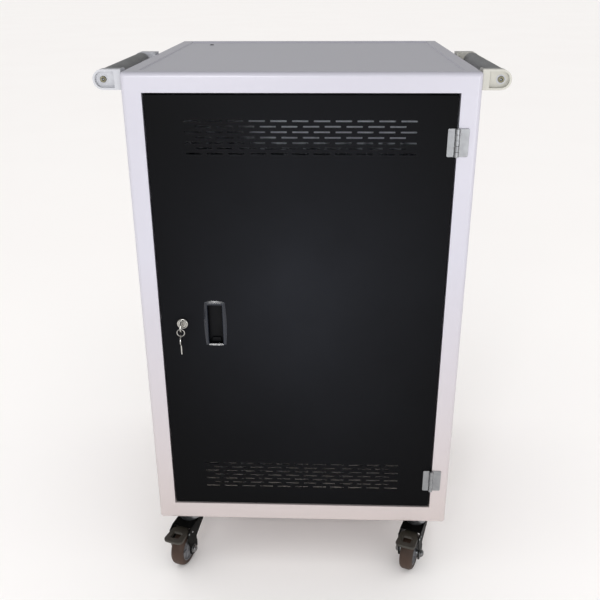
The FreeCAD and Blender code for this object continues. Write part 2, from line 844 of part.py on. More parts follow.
keyway_half = d.key_gauge / 2 + d.keyway_clearance
keyway_rise = d.key_blade_height / 2 + d.keyway_clearance
keyway = box(
    -keyway_half, keyway_half, face_y - PAST, face_y + d.key_blade_length + d.keyway_clearance,
    -keyway_rise, keyway_rise)
lock_plug = cut(
    fuse(
        rod("y", 0, face_y, 0, d.plug_radius, cam_y - face_y),
        rod("y", 0, cam_y, 0, d.cam_stud_radius, d.cam_gauge),
        rod("y", 0, stud_end, 0, d.stud_head_radius, d.stud_head_rise)),
    keyway)

cam_half = d.cam_width / 2
lock_cam = cut(
    fuse(
        box(-cam_half, cam_half, cam_y, stud_end, -d.cam_length, 0),
        rod("y", 0, cam_y, 0, cam_half, d.cam_gauge)),
    rod("y", 0, cam_y - PAST, 0, d.cam_stud_radius + d.running_clearance, d.cam_gauge + 2 * PAST))

bow_y = face_y - d.key_stand - d.key_bow_radius
key_hole_y = bow_y - d.key_hole_offset
key_half = d.key_gauge / 2
key = cut(
    fuse(
        box(
            -key_half, key_half, bow_y, face_y + d.key_blade_length,
            -d.key_blade_height / 2, d.key_blade_height / 2),
        rod("x", -key_half, bow_y, 0, d.key_bow_radius, d.key_gauge)),
    rod("x", -key_half - PAST, key_hole_y, 0, d.key_hole_radius, d.key_gauge + 2 * PAST))

lock_z = base + d.lock_height
piece("front_lock_housing", copy(lock_housing, lock_x, front, lock_z))
piece("front_lock_plug", copy(lock_plug, lock_x, front, lock_z))
piece("front_lock_cam", copy(lock_cam, lock_x, front, lock_z))
piece("rear_lock_housing", copy(lock_housing, -lock_x, rear, lock_z, HALF_TURN))
piece("rear_lock_plug", copy(lock_plug, -lock_x, rear, lock_z, HALF_TURN))
piece("rear_lock_cam", copy(lock_cam, -lock_x, rear, lock_z, HALF_TURN))
piece("door_key", copy(key, lock_x, front, lock_z))

wire_drop = d.key_hole_radius - d.ring_wire_radius - d.ring_slack
ring_z = lock_z - wire_drop - d.ring_radius
ring = doc.addObject("Part::Torus", "ring")
tie(ring, "Radius1", d.ring_radius)
tie(ring, "Radius2", d.ring_wire_radius)
piece("key_ring", place(ring, lock_x, front + key_hole_y, ring_z, (X_AXIS, 90)))
spare_hole_z = ring_z - d.ring_radius - wire_drop
piece("spare_key", copy(key, lock_x, front + key_hole_y, spare_hole_z + key_hole_y, (X_AXIS, -90)))

# Butt hinges, drawn about the pin with the door's face at y = knuckle_radius

KNUCKLES = 5
knuckle_height = d.hinge_height / KNUCKLES
leaf_back = d.knuckle_radius
leaf_face = d.knuckle_radius - d.hinge_gauge
leaf_start = -d.knuckle_radius - d.knuckle_clearance
hinge_low = -d.hinge_height / 2


def hinge_leaf(width, knuckles):
    shapes = [box(-width, leaf_start, leaf_face, leaf_back, hinge_low, -hinge_low)]
    for knuckle in knuckles:
        low = hinge_low + knuckle * knuckle_height + d.knuckle_axial_gap / 2
        high = hinge_low + (knuckle + 1) * knuckle_height - d.knuckle_axial_gap / 2
        shapes.append(rod("z", 0, 0, low, d.knuckle_radius, high - low))
        shapes.append(box(leaf_start, 0, leaf_face, leaf_back, low, high))
    bore = rod(
        "z", 0, 0, hinge_low - PAST, d.hinge_pin_radius + d.running_clearance, d.hinge_height + 2 * PAST)
    return cut(fuse(*shapes), bore)


door_leaf = hinge_leaf(d.hinge_door_leaf, range(1, KNUCKLES, 2))
frame_leaf = hinge_leaf(d.hinge_leaf, range(0, KNUCKLES, 2))
hinge_pin = rod("z", 0, 0, hinge_low - d.hinge_pin_tip, d.hinge_pin_radius, d.hinge_height + 2 * d.hinge_pin_tip)
hinge_x = open_half - d.door_gap / 2
hinge_y = front - d.knuckle_radius
rear_hinge_y = rear + d.knuckle_radius
hinge_levels = (base + door_high - d.hinge_top_drop, base + door_low + d.hinge_bottom_rise)
front_door_leaves = [copy(door_leaf, hinge_x, hinge_y, level) for level in hinge_levels]
rear_door_leaves = [copy(door_leaf, -hinge_x, rear_hinge_y, level, HALF_TURN) for level in hinge_levels]
frame_leaves = [copy(frame_leaf, hinge_x, hinge_y, level, (Y_AXIS, 180)) for level in hinge_levels]
frame_leaves += [copy(frame_leaf, -hinge_x, rear_hinge_y, level, (X_AXIS, 180)) for level in hinge_levels]
hinge_pins = [copy(hinge_pin, hinge_x, hinge_y, level) for level in hinge_levels]
hinge_pins += [copy(hinge_pin, -hinge_x, rear_hinge_y, level) for level in hinge_levels]
piece("front_hinge_door_leaves", group(*front_door_leaves))
piece("rear_hinge_door_leaves", group(*rear_door_leaves))
piece("hinge_frame_leaves", group(*frame_leaves))
piece("hinge_pins", group(*hinge_pins))

# Push handles, drawn for the front right with the cabinet's side at x = 0

grip_x = d.handle_reach - d.handle_height / 2
bracket_half = d.handle_height / 2
rim_half = bracket_half - d.bracket_rim
boss_radius = d.grip_radius - d.grip_wall - d.running_clearance
bracket_body = fuse(
    box(0, grip_x, 0, d.bracket_depth, -bracket_half, bracket_half),
    rod("y", grip_x, 0, 0, bracket_half, d.bracket_depth),
    box(0, d.bracket_base, 0, d.bracket_base_length, -bracket_half, bracket_half),
    rod("y", grip_x, d.bracket_depth, 0, boss_radius, d.boss_length))
bracket = cut(
    bracket_body,
    box(d.bracket_root, grip_x, -PAST, d.bracket_recess, -rim_half, rim_half),
    rod("y", grip_x, -PAST, 0, rim_half, d.bracket_recess + PAST),
    rod(
        "y", grip_x, -PAST, 0, d.bolt_radius + d.bolt_clearance,
        d.bracket_depth + d.boss_length + 2 * PAST))
washer_face = d.bracket_recess - d.washer_gauge
bolt_top = washer_face - d.bolt_head_rise
handle_bolt = cut(
    fuse(
        rod("y", grip_x, washer_face, 0, d.washer_radius, d.washer_gauge),
        rod("y", grip_x, bolt_top, 0, d.bolt_head_radius, d.bolt_head_rise),
        rod("y", grip_x, washer_face, 0, d.bolt_radius, d.bracket_depth + d.boss_length - washer_face)),
    hexagon("y", grip_x, bolt_top - PAST, 0, d.socket_radius, d.socket_depth + PAST))
handle_front = front + d.handle_setback
handle_rear = handle_front + d.handle_length
handle_z = top - bracket_half + d.handle_rise
grip_length = d.handle_length - 2 * d.bracket_depth
bolts = []
for label, x, y, turn in (
    ("right_handle_front_bracket", half, handle_front, None),
    ("left_handle_front_bracket", -half, handle_front, (Y_AXIS, 180)),
    ("right_handle_rear_bracket", half, handle_rear, (X_AXIS, 180)),
    ("left_handle_rear_bracket", -half, handle_rear, (Z_AXIS, 180)),
):
    piece(label, copy(bracket, x, y, handle_z, turn))
    bolts.append(copy(handle_bolt, x, y, handle_z, turn))
piece("handle_bolts", group(*bolts))
for label, x in (("left_handle_grip", -half - grip_x), ("right_handle_grip", half + grip_x)):
    tube = rod("y", x, handle_front + d.bracket_depth, handle_z, d.grip_radius, grip_length)
    bore = rod(
        "y", x, handle_front + d.bracket_depth - PAST, handle_z,
        d.grip_radius - d.grip_wall, grip_length + 2 * PAST)
    piece(label, cut(tube, bore))

# Casters, drawn about the swivel axis with the wheel leading towards -y

plate_low = base - d.plate_gauge
race_low = plate_low - d.race_height
crown_top = race_low - d.race_gap
crown_low = crown_top - d.crown_gauge
head_top = crown_low - d.race_gap
plate_half = d.plate_size / 2
mount_plate = fuse(
    box(-plate_half, plate_half, -plate_half, plate_half, plate_low, base),
    rod("z", 0, 0, race_low, d.race_radius, d.race_height),
    rod("z", 0, 0, head_top, d.kingpin_radius, race_low - head_top),
    rod("z", 0, 0, head_top - d.kingpin_head_height, d.kingpin_head_radius, d.kingpin_head_height))
plate_holes = [
    rod(
        "z", across * d.plate_bolt_offset, along * d.plate_bolt_offset, plate_low - PAST,
        bolt_hole_radius, d.plate_gauge + 2 * PAST)
    for across, along in BOLT_CORNERS
]
drilled_plate = cut(mount_plate, *plate_holes)
piece("caster_plates", group(*[copy(drilled_plate, x, y) for x, y, swivel in CASTER_PLACES.values()]))

nut_low = base + gauge
bolt_low = plate_low - d.caster_bolt_head_rise
caster_bolt = fuse(
    hexagon("z", 0, 0, bolt_low, d.caster_bolt_head_radius, d.caster_bolt_head_rise),
    rod("z", 0, 0, plate_low, d.caster_bolt_radius, nut_low + d.caster_nut_height - plate_low),
    hexagon("z", 0, 0, nut_low, d.caster_bolt_head_radius, d.caster_nut_height))
piece("caster_bolts", group(*[copy(caster_bolt, x, y) for x, y in caster_bolt_places]))

leg_inner = d.wheel_width / 2 + d.leg_clearance
leg_outer = leg_inner + d.leg_gauge
axle_y = -d.caster_lead
axle_z = d.wheel_radius


slant_low = axle_z + d.leg_end_radius


def spread_at(height):
    """How far a leg has moved outwards at a height on its slanted part."""
    return d.fork_spread * (height - slant_low) / (crown_top - slant_low)


def fork_leg(x, spread):
    slanted = doc.addObject("Part::Wedge", "leg")
    for prop, size in (
        ("Xmin", x), ("X2min", x + spread), ("Xmax", x + d.leg_gauge), ("X2max", x + spread + d.leg_gauge),
        ("Ymin", slant_low), ("Ymax", crown_top),
        ("Zmin", -axle_y - d.leg_end_radius), ("Zmax", -axle_y + d.leg_end_radius),
        ("Z2min", -d.leg_top_rear), ("Z2max", d.leg_top_front),
    ):
        tie(slanted, prop, size)
    slanted.Placement = FreeCAD.Placement(Vector(), FreeCAD.Rotation(X_AXIS, 90))
    straight = box(
        x, x + d.leg_gauge, axle_y - d.leg_end_radius, axle_y + d.leg_end_radius, axle_z, slant_low)
    return fuse(slanted, straight, rod("x", x, axle_y, axle_z, d.leg_end_radius, d.leg_gauge))


def caster_fork(pin_holes):
    crown_half = leg_outer + d.fork_spread
    crown = fuse(
        rod("z", 0, 0, crown_low, d.crown_radius, d.crown_gauge),
        box(-crown_half, crown_half, -d.leg_top_front, d.leg_top_rear, crown_low, crown_top))
    whole = fuse(crown, fork_leg(leg_inner, d.fork_spread), fork_leg(-leg_outer, -d.fork_spread))
    kingpin_hole = rod(
        "z", 0, 0, crown_low - PAST, d.kingpin_radius + d.running_clearance, d.crown_gauge + 2 * PAST)
    holes = [
        rod("x", -crown_half - PAST, y, z, radius + d.running_clearance, 2 * crown_half + 2 * PAST)
        for y, z, radius in pin_holes
    ]
    return cut(whole, kingpin_hole, *holes)


axle_hole = (axle_y, axle_z, d.axle_radius)
pivot_hole = (-d.pivot_setback, d.pivot_height, d.pivot_radius)
forks = {"front": caster_fork((axle_hole, pivot_hole)), "rear": caster_fork((axle_hole,))}

axle = fuse(
    rod("x", -leg_outer, axle_y, axle_z, d.axle_radius, 2 * leg_outer),
    hexagon("x", leg_outer, axle_y, axle_z, d.axle_head_radius, d.axle_head_width),
    hexagon("x", -leg_outer - d.axle_head_width, axle_y, axle_z, d.axle_head_radius, d.axle_head_width))
pin_half = leg_outer + spread_at(d.pivot_height) + d.pivot_rivet
pivot_pin = rod("x", -pin_half, -d.pivot_setback, d.pivot_height, d.pivot_radius, 2 * pin_half)
axles = {"front": group(axle, pivot_pin), "rear": axle}

hub_half = d.hub_width / 2
boss_half = leg_inner - d.race_gap
bore_radius = d.axle_radius + d.running_clearance
dish_radius = d.hub_radius - d.hub_rim
hub = cut(
    fuse(
        cut(
            rod("x", -hub_half, axle_y, axle_z, d.hub_radius, d.hub_width),
            rod("x", hub_half - d.hub_dish, axle_y, axle_z, dish_radius, d.hub_dish + PAST),
            rod("x", -hub_half - PAST, axle_y, axle_z, dish_radius, d.hub_dish + PAST)),
        rod("x", -boss_half, axle_y, axle_z, d.hub_boss_radius, 2 * boss_half)),
    rod("x", -boss_half - PAST, axle_y, axle_z, bore_radius, 2 * boss_half + 2 * PAST))

tyre = doc.addObject("PartDesign::Body", "tyre")
for radius, build in ((d.wheel_radius, pad), (d.hub_radius, pocket)):
    wheel_sketch = new_sketch(tyre, "YZ_Plane", -d.wheel_width / 2)
    circle = Part.Circle(Vector(axle_y.value, axle_z.value), Z_AXIS, radius.value)
    wheel_sketch.addGeometry(circle)
    hold(wheel_sketch, "DistanceX", 0, 3, axle_y)
    hold(wheel_sketch, "DistanceY", 0, 3, axle_z)
    hold_radius(wheel_sketch, 0, radius)
    build(tyre, wheel_sketch, d.wheel_width, build is pocket)
    if build is pad:
        tread = [lies_at("X", d.wheel_width / 2), lies_at("X", -d.wheel_width / 2)]
        round_edges(tyre, d.tread_round, lambda bounds: any(test(bounds) for test in tread))

pedal_low = d.pivot_height - d.pivot_boss_radius
pedal_plate = doc.addObject("Part::Wedge", "pedal_plate")
for prop, size in (
    ("Xmin", -d.pedal_tip_half), ("Xmax", d.pedal_tip_half),
    ("X2min", -d.pedal_near_half), ("X2max", d.pedal_near_half),
    ("Ymin", -d.pedal_tip), ("Ymax", -d.pedal_near),
    ("Zmin", pedal_low), ("Zmax", pedal_low + d.pedal_gauge),
    ("Z2min", pedal_low), ("Z2max", pedal_low + d.pedal_gauge),
):
    tie(pedal_plate, prop, size)
boss_reach = leg_inner + spread_at(pedal_low) - d.race_gap
pedal = cut(
    fuse(
        pedal_plate,
        box(
            -d.pedal_arm_half, d.pedal_arm_half, -d.pedal_near - PAST, -d.pivot_setback,
            pedal_low, pedal_low + d.pedal_gauge),
        rod("x", -boss_reach, -d.pivot_setback, d.pivot_height, d.pivot_boss_radius, 2 * boss_reach)),
    box(
        -d.pedal_hole_half, d.pedal_hole_half, -d.pedal_hole_far, -d.pedal_hole_near,
        pedal_low - PAST, pedal_low + d.pedal_gauge + PAST),
    rod(
        "x", -boss_reach - PAST, -d.pivot_setback, d.pivot_height,
        d.pivot_radius + d.running_clearance, 2 * boss_reach + 2 * PAST))

for corner, (x, y, swivel) in CASTER_PLACES.items():
    end = corner.split("_")[0]
    turn = (Z_AXIS, -swivel)
    for label, shape in (("fork", forks[end]), ("axle", axles[end]), ("hub", hub), ("tyre", tyre)):
        piece(f"{corner}_caster_{label}", copy(shape, x, y, 0, turn))
    if end == "front":
        piece(f"{corner}_brake_pedal", copy(pedal, x, y, 0, turn))

# Check every object, then write one file for each piece

doc.recompute()
for obj in doc.Objects:
    if "Invalid" in obj.State or "Error" in obj.State:
        raise RuntimeError(f"{obj.Label} did not compute")
os.makedirs("parts", exist_ok=True)
for label, obj in PIECES.items():
    shape = obj.Shape
    if shape.isNull() or not shape.isValid() or not shape.Solids:
        raise RuntimeError(f"{label} has no valid shape")
    whole = shape.Solids[0] if len(shape.Solids) == 1 else shape
    whole.exportStep(f"parts/{label}.step")
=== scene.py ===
import json
import math

import bmesh
import bpy
from mathutils import Matrix, Vector


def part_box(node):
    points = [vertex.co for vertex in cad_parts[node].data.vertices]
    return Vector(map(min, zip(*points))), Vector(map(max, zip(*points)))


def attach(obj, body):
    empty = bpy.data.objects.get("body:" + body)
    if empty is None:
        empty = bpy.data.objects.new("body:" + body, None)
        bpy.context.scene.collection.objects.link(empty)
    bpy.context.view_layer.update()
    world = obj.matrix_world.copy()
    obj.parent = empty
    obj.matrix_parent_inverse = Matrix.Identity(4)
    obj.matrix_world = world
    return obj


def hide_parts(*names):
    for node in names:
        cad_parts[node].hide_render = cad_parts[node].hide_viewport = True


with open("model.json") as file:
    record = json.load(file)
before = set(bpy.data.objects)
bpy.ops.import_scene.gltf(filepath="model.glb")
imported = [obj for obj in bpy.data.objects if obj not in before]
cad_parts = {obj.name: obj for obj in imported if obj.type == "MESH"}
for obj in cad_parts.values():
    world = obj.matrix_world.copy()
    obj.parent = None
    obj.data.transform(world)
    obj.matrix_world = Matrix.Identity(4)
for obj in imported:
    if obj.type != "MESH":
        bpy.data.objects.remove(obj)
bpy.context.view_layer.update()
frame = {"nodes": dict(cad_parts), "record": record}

nodes = frame["nodes"]
scene = bpy.context.scene


# Camera at the photograph's viewpoint

CAMERA_PLACE = (0.0463, -1.6041, 1.2036)
CAMERA_PITCH = math.radians(23.33)
CAMERA_YAW = math.radians(-2.09)
CAMERA_ROLL = math.radians(-0.24)
CAMERA_LENS = 45.69
SENSOR_WIDTH = 36
CLIP_START = 0.01


def add_camera():
    forward = Vector((
        math.sin(CAMERA_YAW) * math.cos(CAMERA_PITCH),
        math.cos(CAMERA_YAW) * math.cos(CAMERA_PITCH),
        -math.sin(CAMERA_PITCH)))
    level = Vector((math.cos(CAMERA_YAW), -math.sin(CAMERA_YAW), 0))
    upright = level.cross(forward)
    right = math.cos(CAMERA_ROLL) * level + math.sin(CAMERA_ROLL) * upright
    up = math.cos(CAMERA_ROLL) * upright - math.sin(CAMERA_ROLL) * level
    camera = bpy.data.cameras.new("camera")
    camera.lens = CAMERA_LENS
    camera.sensor_width = SENSOR_WIDTH
    camera.clip_start = CLIP_START
    holder = bpy.data.objects.new("camera", camera)
    turn = Matrix((right, up, -forward)).transposed().to_4x4()
    holder.matrix_world = Matrix.Translation(CAMERA_PLACE) @ turn
    scene.collection.objects.link(holder)
    scene.camera = holder


# Floor and soft studio light, in metres and watts

FLOOR_SIZE = 90
SKY_STOPS = ((0.02, (0.55, 0.55, 0.56, 1)), (0.6, (0.37, 0.37, 0.375, 1)))
SUN_POWER = 2.0
SUN_SPREAD = math.radians(120)
SUN_COLOUR = (1.0, 0.97, 0.94)
STRIP_COLOUR = (1.0, 0.99, 0.97)
LAMPS = {
    "key": dict(
        place=(-0.6, -3.4, 1.3), target=(0, -0.3, 0.6), size=(0.9, 0.5), power=24, colour=(0.95, 0.96, 1.0)),
    "fill": dict(
        place=(1.6, -3.0, 0.6), target=(0.2, -0.2, 0.6), size=(1.4, 1.0), power=14, colour=(0.96, 0.97, 1.0)),
    "left_strip": dict(
        place=(-0.70, -3.0, 2.5), target=(0, -0.3, 1.0), size=(0.40, 0.12), power=6, colour=STRIP_COLOUR),
    "right_strip": dict(
        place=(0.46, -3.0, 2.5), target=(0, -0.3, 1.0), size=(0.28, 0.12), power=2.5, colour=STRIP_COLOUR),
    "high_vent_light": dict(
        place=(-0.8, -3.4, 1.45), target=(0, -0.3, 0.66), size=(0.60, 0.22), power=80,
        colour=(0.86, 0.93, 1.0)),
    "low_vent_light": dict(
        place=(0.05, -1.74, 1.32), target=(0, -0.25, 0.2), size=(0.25, 0.08), power=14,
        colour=(1.0, 0.88, 0.76)),
}
LIT_ALONE = {"high_vent_light": "partition_panels", "low_vent_light": "lower_shelf"}


def add_area(name, place, target, size, power, colour):
    light = bpy.data.lights.new(name, "AREA")
    light.shape = "RECTANGLE"
    light.size, light.size_y = size
    light.energy = power
    light.color = colour
    holder = bpy.data.objects.new(name, light)
    holder.location = place
    aim = Vector(target) - Vector(place)
    holder.rotation_euler = aim.to_track_quat("-Z", "Y").to_euler()
    scene.collection.objects.link(holder)
    return holder


def lights_only(light, lit):
    """Makes a light fall on one object and no other."""
    receivers = bpy.data.collections.new(f"{light.name}_receivers")
    receivers.objects.link(lit)
    light.light_linking.receiver_collection = receivers


def add_studio():
    world = bpy.data.worlds.new("studio")
    world.use_nodes = True
    tree = world.node_tree
    background = tree.nodes["Background"]
    split = tree.nodes.new("ShaderNodeSeparateXYZ")
    ramp = tree.nodes.new("ShaderNodeValToRGB")
    tree.links.new(tree.nodes.new("ShaderNodeTexCoord").outputs["Generated"], split.inputs["Vector"])
    tree.links.new(split.outputs["Z"], ramp.inputs["Fac"])
    tree.links.new(ramp.outputs["Color"], background.inputs["Color"])
    for stop, (position, colour) in zip(ramp.color_ramp.elements, SKY_STOPS):
        stop.position = position
        stop.color = colour
    scene.world = world
    for name, lamp in LAMPS.items():
        holder = add_area(name, **lamp)
        if name in LIT_ALONE:
            lights_only(holder, nodes[LIT_ALONE[name]])
    scene.view_settings.view_transform = "Standard"
    scene.view_settings.look = "None"
    bpy.ops.mesh.primitive_plane_add(size=FLOOR_SIZE)
    floor = bpy.context.object
    floor.name = "floor"
    floor.data.materials.append(floor_finish())
    sun = bpy.data.lights.new("floor_light", "SUN")
    sun.energy = SUN_POWER
    sun.angle = SUN_SPREAD
    sun.color = SUN_COLOUR
    holder = bpy.data.objects.new("floor_light", sun)
    scene.collection.objects.link(holder)
    lights_only(holder, floor)


# Material building

class Shader:
    """A node material under construction, in the part's own coordinates."""

    def __init__(self, name, **settings):
        self.material = bpy.data.materials.new(name)
        self.material.use_nodes = True
        self.tree = self.material.node_tree
        self.bsdf = self.tree.nodes["Principled BSDF"]
        self.set(self.bsdf, settings)
        self.place = self.add("TexCoord").outputs["Object"]

    def set(self, node, settings):
        for key, value in settings.items():
            socket = node.inputs[key.replace("_", " ")]
            if isinstance(value, bpy.types.NodeSocket):
                self.tree.links.new(value, socket)
            elif hasattr(value, "__len__") and len(value) == 3 and socket.type == "RGBA":
                socket.default_value = (*value, 1)
            else:
                socket.default_value = value

    def add(self, kind, **settings):
        node = self.tree.nodes.new("ShaderNode" + kind)
        self.set(node, settings)
        return node

    def stretch(self, scale):
        node = self.add("Mapping", Vector=self.place)
        node.inputs["Scale"].default_value = scale
        return node.outputs["Vector"]

    def noise(self, scale, detail=2.0, vector=None):
        node = self.add("TexNoise", Scale=scale, Detail=detail, Vector=vector or self.place)
        return node.outputs["Fac"]

    def cells(self, scale):
        return self.add("TexVoronoi", Scale=scale, Vector=self.place).outputs["Distance"]

    def range(self, value, low, high, to_low=0.0, to_high=1.0):
        node = self.add("MapRange", Value=value)
        for key, number in (("From Min", low), ("From Max", high), ("To Min", to_low), ("To Max", to_high)):
            node.inputs[key].default_value = number
        return node.outputs["Result"]

    def math(self, kind, first, second=0.0):
        node = self.add("Math")
        node.operation = kind
        for socket, value in zip(node.inputs, (first, second)):
            if isinstance(value, bpy.types.NodeSocket):
                self.tree.links.new(value, socket)
            else:
                socket.default_value = value
        return node.outputs["Value"]

    def mix(self, share, first, second):
        node = self.add("Mix")
        node.data_type = "RGBA"
        for index, value in ((0, share), (6, first), (7, second)):
            if isinstance(value, bpy.types.NodeSocket):
                self.tree.links.new(value, node.inputs[index])
            else:
                node.inputs[index].default_value = (*value, 1) if index else value
        return node.outputs[2]

    def spread(self, centre, reach):
        """A soft patch: 1 at its centre, 0 at the reach along each axis; a reach of 0 has no end."""
        node = self.add("Mapping", Vector=self.place)
        node.inputs["Scale"].default_value = [1 / size if size else 0 for size in reach]
        node.inputs["Location"].default_value = [-at / size if size else 0 for at, size in zip(centre, reach)]
        length = self.add("VectorMath", Vector=node.outputs["Vector"])
        length.operation = "LENGTH"
        away = self.range(length.outputs["Value"], 1.0, 0.1)
        return self.math("MULTIPLY", away, away)

    def edges(self, radius):
        """Where two faces meet at an angle, from 0 on the flat to 1 on the edge."""
        rounded = self.add("Bevel")
        rounded.samples = 4
        rounded.inputs["Radius"].default_value = radius
        dot = self.add("VectorMath")
        dot.operation = "DOT_PRODUCT"
        self.tree.links.new(rounded.outputs["Normal"], dot.inputs[0])
        self.tree.links.new(self.add("NewGeometry").outputs["Normal"], dot.inputs[1])
        return self.range(dot.outputs["Value"], 0.995, 0.8)

    def bump(self, height, strength, distance, normal=None):
        node = self.add("Bump", Height=height)
        node.inputs["Strength"].default_value = strength
        node.inputs["Distance"].default_value = distance
        if normal:
            self.tree.links.new(normal, node.inputs["Normal"])
        return node.outputs["Normal"]

    def finish(self, **settings):
        self.set(self.bsdf, settings)
        return self.material


STREAK = (1, 1, 18)


def floor_finish():
    shader = Shader("floor_finish", Specular_IOR_Level=0.2)
    tone = shader.mix(shader.noise(0.8), (0.90, 0.89, 0.885), (0.93, 0.925, 0.92))
    return shader.finish(Base_Color=tone, Roughness=shader.range(shader.noise(30), 0, 1, 0.7, 0.85))


def powder_coat(name, colour, shade, worn, rough, grain=0.12, painted_bounce=None):
    """Baked paint on sheet steel: faint cloudiness, orange peel, rubbed edges and, when given, a painted warm
    floor bounce towards the bottom.
    """
    shader = Shader(name)
    cloud = shader.noise(2.5, 0)
    tone = shader.mix(shader.range(cloud, 0.1, 0.9), colour, shade)
    # Painted light: a warmer, darker tone in soft patches towards the bottom stands in for warm light bounced
    # from the floor.
    if painted_bounce:
        low = shader.range(shader.add("SeparateXYZ", Vector=shader.place).outputs["Z"], 0.72, 0.12)
        patchy = shader.range(shader.noise(3, 0), 0.1, 0.9, 0.78, 0.92)
        tone = shader.mix(shader.math("MULTIPLY", low, patchy), tone, painted_bounce)
    rubbed = shader.math("MULTIPLY", shader.edges(0.0018), shader.range(shader.noise(70, 5), 0.5, 0.72))
    tone = shader.mix(shader.math("MULTIPLY", rubbed, 0.55), tone, worn)
    gloss = shader.range(cloud, 0.1, 0.9, rough - 0.02, rough + 0.03)
    peel = shader.bump(shader.noise(420, 3), grain, 0.0006)
    fine = shader.bump(shader.noise(2400, 2), grain * 0.5, 0.00015, peel)
    return shader.finish(Base_Color=tone, Roughness=gloss, Normal=fine)


def black_coat(name):
    """Satin black paint with a lighter patch in the middle, partly a dust smear and partly a painted glow, a
    few dust specks and rubbed edges.
    """
    shader = Shader(name, Specular_IOR_Level=0.055)
    haze = shader.noise(3.2, 5)
    # Partly painted light: the soft lighter patch in the middle is a smear of dust and also a painted glow
    # where light falls on the door.
    smear_and_glow = shader.spread((0.01, 0, 0.64), (0.50, 0, 0.68))
    smear_and_glow = shader.math("MULTIPLY", smear_and_glow, shader.range(haze, 0.2, 0.8, 0.55, 1.1))
    specks = shader.range(shader.cells(95), 0.045, 0.02)
    specks = shader.math("MULTIPLY", specks, shader.range(shader.noise(9, 3), 0.55, 0.7))
    tone = shader.mix(smear_and_glow, (0.0018, 0.0018, 0.0021), (0.0175, 0.0190, 0.0238))
    tone = shader.mix(shader.math("MULTIPLY", specks, 0.35), tone, (0.16, 0.16, 0.16))
    rubbed = shader.math("MULTIPLY", shader.edges(0.0015), shader.range(shader.noise(60, 5), 0.48, 0.7))
    tone = shader.mix(shader.math("MULTIPLY", rubbed, 0.5), tone, (0.07, 0.07, 0.075))
    gloss = shader.range(haze, 0.25, 0.75, 0.34, 0.46)
    peel = shader.bump(shader.noise(380, 3), 0.16, 0.0006)
    fine = shader.bump(shader.noise(2200, 2), 0.10, 0.00015, peel)
    return shader.finish(Base_Color=tone, Roughness=gloss, Normal=fine)


def plated(name, colour, dull, rough):
    """Bright plated steel: fine drawn streaks, faint blotches and bright rubbed edges."""
    shader = Shader(name, Metallic=1.0)
    blotch = shader.noise(85, 5)
    streaks = shader.noise(260, 3, shader.stretch(STREAK))
    tone = shader.mix(shader.range(blotch, 0.35, 0.7), colour, dull)
    rubbed = shader.math("MULTIPLY", shader.edges(0.0006), 0.6)
    tone = shader.mix(rubbed, tone, (0.86, 0.86, 0.87))
    drawn = shader.range(streaks, 0.2, 0.8, rough - 0.05, rough + 0.07)
    gloss = shader.math("ADD", drawn, shader.range(blotch, 0.4, 0.8, 0, 0.08))
    return shader.finish(Base_Color=tone, Roughness=gloss, Normal=shader.bump(streaks, 0.06, 0.0002))


def moulded(name, colour, shade, rough, grain=900, depth=0.12, worn=None, shine=0.5):
    """Moulded plastic or rubber: fine spark-eroded grain, faint clouding and polished edges."""
    shader = Shader(name, Specular_IOR_Level=shine)
    cloud = shader.noise(26, 4)
    tone = shader.mix(shader.range(cloud, 0.3, 0.7), colour, shade)
    if worn:
        rubbed = shader.math("MULTIPLY", shader.edges(0.0008), shader.range(shader.noise(140, 4), 0.4, 0.65))
        tone = shader.mix(shader.math("MULTIPLY", rubbed, 0.6), tone, worn)
    gloss = shader.range(shader.noise(110, 4), 0.2, 0.8, rough - 0.06, rough + 0.08)
    normal = shader.bump(shader.noise(grain, 3), depth, 0.0003)
    return shader.finish(Base_Color=tone, Roughness=gloss, Normal=normal)


FINISHES = {
    "white_paint": powder_coat(
        "white_coat", (0.615, 0.605, 0.675), (0.645, 0.635, 0.705), worn=(0.40, 0.39, 0.40), rough=0.25,
        # the warm tone of the painted floor bounce towards the bottom
        painted_bounce=(0.62, 0.535, 0.50)),
    "shelf_paint": powder_coat(
        "shelf_coat", (0.80, 0.80, 0.83), (0.84, 0.84, 0.87), worn=(0.45, 0.44, 0.44), rough=0.42),
    "divider_plastic": moulded("divider_moulding", (0.42, 0.43, 0.45), (0.47, 0.48, 0.50), 0.42),
    "black_paint": black_coat("black_coat"),
    "zinc_plate": plated("zinc", (0.33, 0.34, 0.35), (0.265, 0.27, 0.28), 0.30),
    "chrome_trim": plated("chrome", (0.50, 0.49, 0.46), (0.40, 0.39, 0.365), 0.15),
    "black_plastic": moulded("black_moulding", (0.014, 0.015, 0.018), (0.022, 0.023, 0.028), 0.22),
    "cable_sheath": moulded("sheath", (0.012, 0.012, 0.012), (0.02, 0.02, 0.02), 0.55),
    "bracket_plastic": moulded("bracket_moulding", (0.56, 0.57, 0.60), (0.61, 0.62, 0.65), 0.36),
    "grip_rubber": moulded("grip_foam", (0.27, 0.272, 0.27), (0.32, 0.322, 0.32), 0.66, 700, 0.3),
    "caster_black": moulded(
        "fork_coat", (0.0025, 0.0025, 0.0022), (0.005, 0.005, 0.0045), 0.45, worn=(0.04, 0.04, 0.04),
        shine=0.04),
    "hub_plastic": moulded("hub_moulding", (0.19, 0.19, 0.20), (0.25, 0.25, 0.26), 0.45),
    "tyre_rubber": moulded("tread", (0.040, 0.024, 0.016), (0.070, 0.042, 0.030), 0.60, 500, 0.3, shine=0.3),
    "pedal_steel": moulded(
        "pedal_coat", (0.031, 0.027, 0.020), (0.046, 0.041, 0.031), 0.42, worn=(0.16, 0.15, 0.14)),
}
# Painted shade: the brackets on the right take a warmer, yellowish copy of the bracket moulding, standing in
# for the shade beside the cabinet.
SHADED_BRACKET_FINISH = moulded("shaded_bracket_moulding", (0.56, 0.55, 0.49), (0.61, 0.60, 0.54), 0.36)
